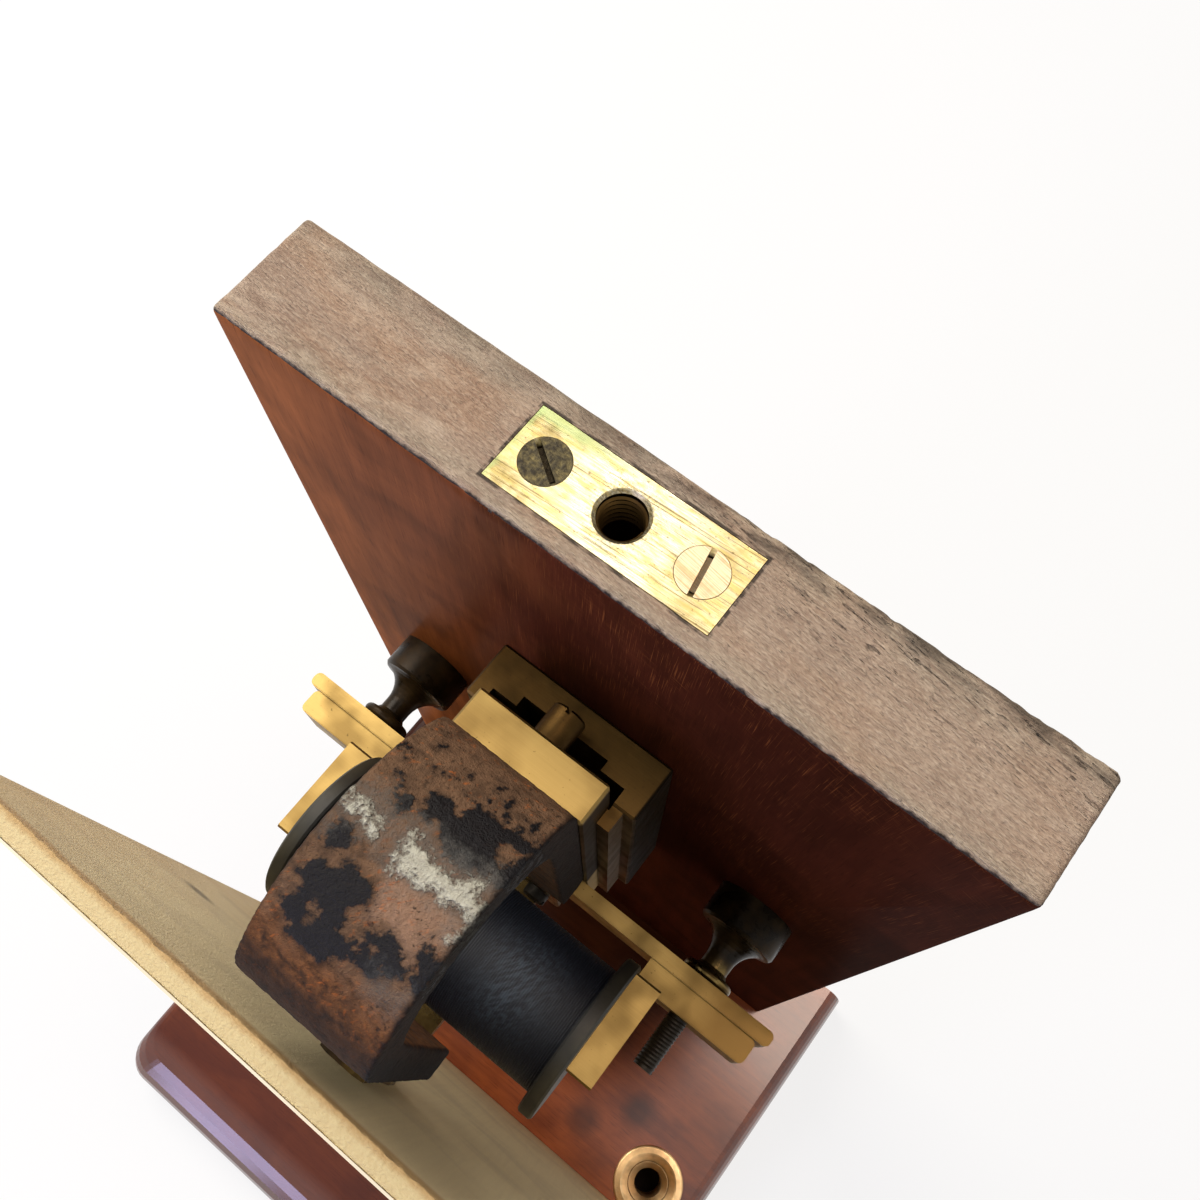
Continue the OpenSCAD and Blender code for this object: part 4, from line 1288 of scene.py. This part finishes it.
def give(piece, *finishes):
    """Gives a piece its finishes in place of those that it has."""
    piece.data.materials.clear()
    for finish in finishes:
        piece.data.materials.append(finish)


def merged_copy(node, name):
    """A copy of a CAD node's mesh with its loose triangles joined, as a new piece."""
    piece = bpy.data.objects.new(name, NODES[node].data.copy())
    bpy.context.scene.collection.objects.link(piece)
    piece.data.name = piece.name
    only(piece)
    bpy.ops.object.mode_set(mode="EDIT")
    bpy.ops.mesh.select_all(action="SELECT")
    bpy.ops.mesh.remove_doubles(threshold=0.001 * MM)
    bpy.ops.object.mode_set(mode="OBJECT")
    return piece


def middle_of(name):
    """The middle of a CAD node's box."""
    low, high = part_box(name)
    return (low + high) / 2


def made(finish):
    """The material that a function makes, made only once."""
    return bpy.data.materials.get(finish.__name__) or finish()


def dress(finish, *names):
    """Gives CAD nodes a finish in their material slots."""
    for name in names:
        for slot in NODES[name].material_slots:
            slot.material = finish


# Holes of the new boards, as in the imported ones, in mm: the well under the nut plate, the steps
# of each long screw's hole as radius and depth, and the dial's holes for the arbor and, at
# these drops below it, for its screws
WELL_RADIUS, WELL_DEPTH = 4.35, 18
STUD_HOLES = ((4.8, 4.4), (2.1, 25))
ARBOR_HOLE_RADIUS, DIAL_SCREW_RADIUS = 3.4, 1.3
DIAL_SCREW_DROPS = (7.5, 17.5)


# Operators, one for each piece or group of like pieces


class REPEATER_OT_backboard(bpy.types.Operator):
    """Model the mahogany backboard with its worn bare top"""

    bl_idname = "repeater.backboard"
    bl_label = "Backboard"

    def execute(self, context):
        size = sizes()
        low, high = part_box("backboard")
        board = eased_board("worn_backboard", low, high, size.board_ease, size.board_cell, 3 * MM)
        plate_low, plate_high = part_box("nut_plate")
        gap = Vector((0.1, 0.1, 0)) * MM
        up, behind = Vector((0, 0, MM)), Vector((0, MM, 0))
        well = Vector(((plate_low.x + plate_high.x) / 2, (low.y + high.y) / 2, plate_low.z))
        cutters = [
            block(plate_low - gap, plate_high + gap + 2 * up),
            rod(WELL_RADIUS * MM, well - WELL_DEPTH * up, well + up),
        ]
        for name in ("left_stud", "right_stud"):
            centre = middle_of(name)
            centre.y = high.y
            for radius, depth in STUD_HOLES:
                cutters.append(rod(radius * MM, centre - depth * behind, centre + behind))
        cut_away(board, cutters)
        top, back, front = high.z / MM, high.y / MM, low.y / MM
        plate_low, plate_high = box_mm("nut_plate")

        def dented(point):
            """How far the top is dented at a point, from 0 to 1, and not beside the plate."""
            if point.z < top - 2.6:
                return 0
            off_plate = max(
                plate_low.x - point.x,
                point.x - plate_high.x,
                plate_low.y - point.y,
                point.y - plate_high.y,
            )
            calm = step_between(0.1, 1.6, off_plate) if point.z > top - 0.2 else 1
            waves = 0.5 + lumps(Vector((point.x / 3, point.y, point.z)), 1.5, 2)
            rear = step_between(1.6, 0.2, back - point.y) * step_between(-6, 22, point.x)
            torn = max(0, lumps(point, 2.6, 5)) * rear
            nick = max(0, lumps(point, 1.7, 9) - 0.32) * step_between(1.2, 0.2, point.y - front)
            fade = step_between(top - 2.6, top - 1.4, point.z)
            return calm * fade * (0.16 * waves + 0.8 * torn + 1.2 * nick)

        wear(board, "dents", -size.board_wear, map(dented, points(board)))
        select_faces(board, lambda centre, normal: normal.z > 0.5 and centre.z > high.z - MM)
        give(board, polished_mahogany(), bare_end_wood())
        board.active_material_index = 1
        bpy.ops.object.material_slot_assign()
        bpy.ops.object.mode_set(mode="OBJECT")
        smooth(board, 40)
        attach(board, ROOT)
        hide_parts("backboard")
        return {"FINISHED"}


class REPEATER_OT_base(bpy.types.Operator):
    """Polish the mahogany base"""

    bl_idname = "repeater.base"
    bl_label = "Base"

    def execute(self, context):
        dress(base_mahogany(), "base")
        return {"FINISHED"}


class REPEATER_OT_dial(bpy.types.Operator):
    """Model the painted dial board and enamel its face"""

    bl_idname = "repeater.dial"
    bl_label = "Dial"

    def execute(self, context):
        size = sizes()
        low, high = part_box("dial_board")
        board = eased_board("painted_board", low, high, size.dial_ease, size.board_cell, 2 * MM)
        hole = middle_of("arbor")
        hole.y = low.y
        past, through = Vector((0, 2 * MM, 0)), Vector((0, high.y - low.y + 2 * MM, 0))
        cutters = [rod(ARBOR_HOLE_RADIUS * MM, hole - past, hole + through)]
        for drop in DIAL_SCREW_DROPS:
            screw = hole - Vector((0, 0, drop * MM))
            cutters.append(rod(DIAL_SCREW_RADIUS * MM, screw - past, screw + through, 32))
        cut_away(board, cutters)
        top, back = high.z / MM, high.y / MM

        def frayed(point):
            """How far the paint and fibres of the top edge are broken at a point, from 0 to 1."""
            if point.z < top - 1.6:
                return 0
            fade = step_between(top - 1.6, top - 0.3, point.z)
            edge = step_between(1.0, 0.1, back - point.y)
            torn = edge * max(0, lumps(point, 1.5, 6) + 0.1)
            return fade * (0.25 + 0.3 * lumps(point, 0.9, 4) + torn)

        wear(board, "frays", -size.dial_wear, map(frayed, points(board)))
        give(board, painted_dial_board())
        smooth(board, 50)
        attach(board, ROOT)
        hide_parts("dial_board")
        dress(dial_enamel(), "dial_face")
        return {"FINISHED"}


class REPEATER_OT_nut_plate(bpy.types.Operator):
    """Scrape the nut plate, and cut the thread in it"""

    bl_idname = "repeater.nut_plate"
    bl_label = "Nut plate"

    def execute(self, context):
        size = sizes()
        dress(scraped_nut_plate(), "nut_plate")
        screws = merged_copy("nut_plate_screws", "filed_screws")
        low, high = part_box("nut_plate_screws")
        middle, head_radius = (low + high) / 2, (high.y - low.y) / 2
        select_faces(screws, lambda centre, normal: centre.x < middle.x)
        bpy.ops.transform.rotate(
            value=radians(size.left_slot),
            orient_axis="Z",
            center_override=(low.x + head_radius, middle.y, middle.z),
        )
        bpy.ops.object.mode_set(mode="OBJECT")
        bpy.ops.mesh.customdata_custom_splitnormals_clear()
        give(screws, nut_plate_screw_brass())
        smooth(screws, 30)
        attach(screws, ROOT)
        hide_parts("nut_plate_screws")
        start = middle_of("nut_plate")
        turns, lead_in, radius, ridge = 6, 0.8 * MM, 3.3 * MM, 0.3 * MM
        start.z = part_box("nut_plate")[1].z - lead_in - turns * size.nut_pitch
        thread = helix("nut_thread", start, "Z", radius, ridge, 4, size.nut_pitch, turns, 48)
        give(thread, made(handled_brass))
        smooth(thread, 30)
        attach(thread, ROOT)
        return {"FINISHED"}


# Outlines on the magnet's crown, seen from above, as X and Y in mm
PAINT_OUTLINES = (
    ((1.4, 30.4), (3.6, 30.9), (5.4, 29.9), (7.4, 31.1), (9.4, 31.3), (12.3, 31.0), (12.3, 24.0),
     (8.6, 22.8), (6.0, 22.4), (2.6, 22.6), (0.6, 24.4), (-1.6, 24.6), (-3.8, 26.4), (-3.4, 28.0),
     (-1.2, 28.4), (0.4, 27.6), (1.4, 28.4)),
    ((-7.6, 26.2), (-5.4, 26.2), (-4.2, 25.2), (-3.8, 23.8), (-5.4, 22.8), (-7.2, 23.4)),
    ((-11.2, 17.6), (-8.4, 17.9), (-7.1, 16.6), (-7.1, 15.0), (-8.6, 13.8), (-10.4, 14.8)),
    ((-6.4, 13.2), (-4.6, 14.3), (-2.4, 13.8), (-0.4, 13.1), (0.2, 11.0), (-1.4, 9.4), (-1.6, 7.2),
     (0.0, 6.0), (1.2, 6.8), (2.4, 5.0), (0.6, 3.6), (-1.4, 2.2), (-4.4, 1.6), (-7.0, 2.0),
     (-8.8, 3.6), (-10.4, 4.8), (-9.6, 6.2), (-8.8, 8.0), (-10.8, 9.6), (-9.6, 11.2), (-7.6, 11.8)),
    ((1.4, 9.8), (4.0, 10.3), (7.0, 9.9), (9.4, 8.2), (9.4, 6.8), (6.6, 6.6), (4.8, 4.5),
     (2.6, 4.7), (1.6, 6.2), (2.4, 7.6)),
    ((9.2, 12.4), (12.3, 12.0), (12.3, 7.2), (9.6, 7.0), (10.2, 9.0), (8.8, 10.6)),
)  # fmt: skip
LIME_OUTLINES = (
    ((-12.4, 21.7), (-10.4, 21.4), (-8.6, 20.8), (-6.8, 20.6), (-5.5, 19.8), (-5.2, 18.5),
     (-6.4, 18.3), (-7.4, 19.4), (-9.4, 19.8), (-11.0, 19.4), (-12.4, 19.2)),
    ((-2.0, 21.4), (-1.2, 22.0), (0.4, 20.9), (2.4, 21.4), (3.6, 20.6), (6.0, 20.8), (8.2, 21.5),
     (9.4, 22.3), (10.4, 21.0), (11.6, 20.4), (12.4, 19.0), (12.4, 17.4), (10.6, 18.3),
     (8.6, 18.0), (6.6, 17.4), (5.4, 17.9), (3.6, 17.2), (2.0, 17.9), (0.4, 16.6), (-1.4, 17.2),
     (-1.0, 19.4)),
    ((11.3, 18.6), (12.4, 18.0), (12.4, 14.6), (11.8, 14.8)),
)  # fmt: skip
HAZE_OUTLINES = (
    ((-3.0, 24.0), (2.0, 23.6), (8.0, 24.6), (12.3, 24.2), (12.3, 16.6), (4.0, 16.8), (-3.0, 16.4)),
    ((-12.3, 23.4), (-8.0, 24.6), (-3.8, 23.6), (-3.8, 18.0), (-12.3, 18.4)),
    ((5.6, 5.8), (8.0, 6.2), (11.6, 6.4), (11.6, 3.2), (8.8, 2.2), (5.8, 3.4)),
    ((-12.4, 17.2), (-10.8, 16.8), (-10.6, 15.0), (-12.4, 14.8)),
)  # fmt: skip
BLOOM_OUTLINES = (
    ((0.2, 17.0), (11.2, 17.4), (11.0, 12.8), (8.6, 11.0), (8.6, 9.6), (4.0, 10.6), (0.6, 10.6)),
)
# Bare and painted spots there, each with its middle and radius
BARE_SPOTS = (
    (9.5, 27.6, 1.5), (10.2, 26.6, 0.9), (-5.8, 6.6, 0.9), (-5.7, 5.0, 0.8), (4.0, 7.2, 0.6),
)  # fmt: skip
PAINT_SPOTS = (
    (-7.9, 34.0, 0.6), (2.6, 34.1, 0.6), (2.3, 32.5, 0.5), (5.0, 33.1, 0.6), (9.3, 33.1, 0.8),
    (8.2, 31.8, 0.6), (-11.4, 30.3, 0.6), (-9.9, 30.0, 0.3), (-4.4, 31.2, 0.3), (-9.0, 26.8, 0.5),
    (-6.4, 30.2, 0.3), (0.2, 30.8, 0.3), (6.2, 31.8, 0.4), (-1.6, 32.6, 0.3),
)  # fmt: skip


def depth_inside(point, outlines, round_spots=()):
    """How deep a point lies inside the outlines or spots, in mm: below 0 outside."""
    flat = Vector(point[:2])
    best = -9.0
    for outline in outlines:
        inside, gap = False, 9.0
        for start, end in zip(outline, outline[1:] + outline[:1]):
            a, side = Vector(start), Vector(end) - Vector(start)
            share = min(1, max(0, (flat - a).dot(side) / side.length_squared))
            gap = min(gap, (flat - a - share * side).length)
            if (a.y > flat.y) != (end[1] > flat.y):
                inside ^= flat.x < a.x + side.x * (flat.y - a.y) / side.y
        best = max(best, gap if inside else -gap)
    for x, y, radius in round_spots:
        best = max(best, radius - (flat - Vector((x, y))).length)
    return best


class REPEATER_OT_magnet(bpy.types.Operator):
    """Rust the magnet, and leave islands of paint and lime on it"""

    bl_idname = "repeater.magnet"
    bl_label = "Magnet"

    def execute(self, context):
        size = sizes()
        magnet = merged_copy("magnet", "rusty_magnet")
        finish_modifier(magnet, "REMESH", mode="VOXEL", voxel_size=size.rust_cell)
        finish_modifier(magnet, "SMOOTH", factor=0.5, iterations=2)
        below_crown = box_mm("magnet")[1].z - 16
        places = points(magnet)

        def field(reach, detail, outlines, seed, round_spots=()):
            """The depth inside ragged outlines at each point, and well outside below the crown."""
            depths = []
            for place in places:
                if place.z < below_crown:
                    depths.append(-2.5 + 1.8 * lumps(place, 9, seed))
                    continue
                wander = Vector((lumps(place, 2.0, seed), lumps(place, 2.0, seed + 4), 0))
                fine = detail * lumps(place, 0.8, seed + 2)
                depths.append(depth_inside(place + reach * wander, outlines, round_spots) + fine)
            return depths

        paint = field(1.1, 0.45, PAINT_OUTLINES, 3, PAINT_SPOTS)
        bare = field(0.5, 0.2, (), 8, BARE_SPOTS)
        paint = [min(there, -gone) for there, gone in zip(paint, bare)]
        lime = field(0.9, 0.5, LIME_OUTLINES, 4)
        fields = {
            "old_paint": paint,
            "lime": lime,
            "haze": field(1.4, 0.5, HAZE_OUTLINES, 6),
            "bloom": field(1.2, 0.4, BLOOM_OUTLINES, 9),
        }
        for name, values in fields.items():
            attribute = magnet.data.attributes.new(name, "FLOAT", "POINT")
            attribute.data.foreach_set("value", values)
        pits = [0.35 + 0.5 * lumps(p, 1.1, 11) + 0.2 * lumps(p, 4, 3) for p in places]
        wear(magnet, "pits", -size.rust_pit, pits)
        wear(magnet, "coat", size.paint_coat, [step_between(-0.3, 0.4, there) for there in paint])
        crust = [
            step_between(-0.3, 0.7, there) * (0.5 + 0.6 * lumps(p, 0.8, 12))
            for there, p in zip(lime, places)
        ]
        wear(magnet, "crust", size.lime_coat, crust)
        give(magnet, rusty_magnet_steel())
        smooth(magnet, 60)
        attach(magnet, ROOT)
        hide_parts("magnet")
        return {"FINISHED"}


class REPEATER_OT_windings(bpy.types.Operator):
    """Wind the two coils with silk covered wire, turn by turn"""

    bl_idname = "repeater.windings"
    bl_label = "Windings"

    def execute(self, context):
        size = sizes()
        silk = silk_covered_wire()
        wire = size.wire_pitch / 2  # its radius
        for name in ("left_winding", "right_winding"):
            low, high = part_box(name)
            outer = (high.z - low.z) / 2
            start, margin = middle_of(name), 0.6 * wire
            start.x = low.x + margin
            width = high.x - low.x - 2 * margin
            turns = int(width / size.wire_pitch)
            pitch = width / turns
            coil = helix(
                name + "_turns", start, "X", outer - wire, wire, 8, pitch, turns, size.round_steps
            )
            nothing_selected()
            bpy.ops.mesh.primitive_cylinder_add(
                vertices=64,
                radius=outer - 0.35 * wire,
                depth=high.x - low.x,
                end_fill_type="NOTHING",
                location=middle_of(name),
                rotation=(0, radians(90), 0),
            )
            under = placed("under_layer")
            finish_modifier(under, "SOLIDIFY", thickness=4 * MM, offset=-1)
            only(coil)
            under.select_set(True)
            bpy.context.view_layer.objects.active = coil
            bpy.ops.object.join()
            give(coil, silk)
            smooth(coil, 60)
            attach(coil, ROOT)
            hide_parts(name)
        return {"FINISHED"}


class REPEATER_OT_bobbins(bpy.types.Operator):
    """Turn the bobbins in ebonite and the cores in iron"""

    bl_idname = "repeater.bobbins"
    bl_label = "Bobbins and cores"

    def execute(self, context):
        dress(turned_ebonite(), "left_bobbin", "right_bobbin")
        dress(annealed_iron(), "left_core", "right_core")
        return {"FINISHED"}


class REPEATER_OT_brasswork(bpy.types.Operator):
    """File, cast and turn the brass bars, brackets, pillars and cups"""

    bl_idname = "repeater.brasswork"
    bl_label = "Brasswork"

    def execute(self, context):
        dress(
            filed_brass(), "upright_bar", "cross_strip", "left_coil_bracket", "right_coil_bracket"
        )
        dress(made(handled_brass), "stand_off_bracket", "magnet_screw")
        dress(dark_turned_brass(), "left_pillar", "right_pillar", "bearing_yoke")
        dress(
            made(turned_brass),
            "left_screw_cup",
            "right_screw_cup",
            "dial_screws",
            "stud_washers",
            "stop_pins",
        )
        return {"FINISHED"}


class REPEATER_OT_steelwork(bpy.types.Operator):
    """Darken the steel screws, and cut the threads on the tips of the long ones"""

    bl_idname = "repeater.steelwork"
    bl_label = "Steelwork"

    def execute(self, context):
        size = sizes()
        steel = darkened_steel()
        dress(
            steel, "backboard_screws", "bracket_screws", "frame_screws", "left_stud", "right_stud"
        )
        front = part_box("left_coil_bracket")[1].y - 5.2 * MM
        tip, radius, ridge = 0.3 * MM, 1.95 * MM, 0.26 * MM
        for name in ("left_stud", "right_stud"):
            start = middle_of(name)
            start.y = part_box(name)[0].y + tip
            turns = int((front - start.y) / size.stud_pitch)
            thread = helix(
                name + "_thread", start, "Y", radius, ridge, 4, size.stud_pitch, turns, 36
            )
            give(thread, steel)
            smooth(thread, 30)
            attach(thread, ROOT)
        return {"FINISHED"}


class REPEATER_OT_signal_arm(bpy.types.Operator):
    """Enamel the signal arm, and finish its arbor, collet and weight"""

    bl_idname = "repeater.signal_arm"
    bl_label = "Signal arm"

    def execute(self, context):
        dress(arm_enamel(box_mm("signal_arm")[0].y), "signal_arm")
        dress(polished_steel(), "arbor", "needle")
        dress(made(turned_brass), "arm_collet", "collet_nut", "balance_weight")
        return {"FINISHED"}


# Soft boxes: name, place in m, width and height in m, power in W, colour
LAMPS = (
    ("window", (-0.7, 0.24, 0.95), 0.8, 0.8, 12.0, "#fff8ee"),
    ("overhead", (0.24, 0.31, 1.25), 0.4, 0.4, 3.5, "#ffe4d2"),
    ("front_sky", (-0.22, -0.9, 0.4), 0.3, 0.8, 4.4, "#cccbff"),
)
# The camera, worked out from the straight edges: its place in m, the way back from what it
# looks at, the way to its right, and its focal length in mm on a sensor of 36 mm
CAMERA_PLACE = (0.03575, 0.0145, 0.407)
CAMERA_BACK = (0.227, -0.287, 0.9306)
CAMERA_RIGHT = (0.7875, 0.6163, -0.0021)
FOCAL_LENGTH, SENSOR_WIDTH = 35.76, 36


class REPEATER_OT_stage(bpy.types.Operator):
    """Set the floor, the soft light and the camera"""

    bl_idname = "repeater.stage"
    bl_label = "Stage"

    def execute(self, context):
        scene = context.scene
        scene.view_settings.view_transform = "Standard"
        nothing_selected()
        bpy.ops.mesh.primitive_plane_add(size=6, location=(0, 0, -0.05 * MM))
        floor = placed("floor")
        give(floor, pale_floor())
        soft_room(scene)
        middle = Vector((0, 0.02, 0.14))
        for name, place, width, height, power, tint in LAMPS:
            light = bpy.data.lights.new(name, "AREA")
            light.shape, light.size, light.size_y, light.energy = "ELLIPSE", width, height, power
            light.color = linear(tint)[:3]
            lamp = bpy.data.objects.new(name, light)
            lamp.location = place
            aim = middle - Vector(place)
            lamp.rotation_euler = aim.to_track_quat("-Z", "Y").to_euler()
            lamp.visible_camera = False
            scene.collection.objects.link(lamp)
        lens = bpy.data.cameras.new("camera")
        lens.lens, lens.sensor_width = FOCAL_LENGTH, SENSOR_WIDTH
        lens.clip_start, lens.clip_end = 0.01, 20
        camera = bpy.data.objects.new("camera", lens)
        scene.collection.objects.link(camera)
        back, right = Vector(CAMERA_BACK).normalized(), Vector(CAMERA_RIGHT)
        right = (right - right.dot(back) * back).normalized()
        turn = Matrix((right, back.cross(right), back)).transposed().to_4x4()
        camera.matrix_world = Matrix.Translation(CAMERA_PLACE) @ turn
        scene.camera = camera
        return {"FINISHED"}


class REPEATER_PT_sidebar(bpy.types.Panel):
    """The repeater's pieces in the sidebar"""

    bl_idname = "REPEATER_PT_sidebar"
    bl_label = "Signal arm repeater"
    bl_space_type = "VIEW_3D"
    bl_region_type = "UI"
    bl_category = "Repeater"

    def draw(self, context):
        layout = self.layout
        for operator in OPERATORS:
            layout.operator(operator.bl_idname)
        for group, title in (("repeater_sizes", "Sizes"), ("repeater_colours", "Colours")):
            layout.label(text=title)
            settings = getattr(context.scene, group)
            for name in settings.bl_rna.properties.keys():
                if name not in ("rna_type", "name"):
                    layout.prop(settings, name)


OPERATORS = (
    REPEATER_OT_backboard,
    REPEATER_OT_base,
    REPEATER_OT_dial,
    REPEATER_OT_nut_plate,
    REPEATER_OT_magnet,
    REPEATER_OT_windings,
    REPEATER_OT_bobbins,
    REPEATER_OT_brasswork,
    REPEATER_OT_steelwork,
    REPEATER_OT_signal_arm,
    REPEATER_OT_stage,
)
CLASSES = (RepeaterSizes, RepeaterColours, *OPERATORS, REPEATER_PT_sidebar)


def register():
    """Adds the classes and the scene's settings."""
    for cls in CLASSES:
        bpy.utils.register_class(cls)
    bpy.types.Scene.repeater_sizes = PointerProperty(type=RepeaterSizes)
    bpy.types.Scene.repeater_colours = PointerProperty(type=RepeaterColours)


def unregister():
    """Removes the scene's settings and the classes."""
    del bpy.types.Scene.repeater_colours
    del bpy.types.Scene.repeater_sizes
    for cls in reversed(CLASSES):
        bpy.utils.unregister_class(cls)


def main():
    """Builds the dressed part."""
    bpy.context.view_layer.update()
    register()
    for operator in OPERATORS:
        group, name = operator.bl_idname.split(".")
        getattr(getattr(bpy.ops, group), name)()
    nothing_selected()


if __name__ == "__main__":
    main()
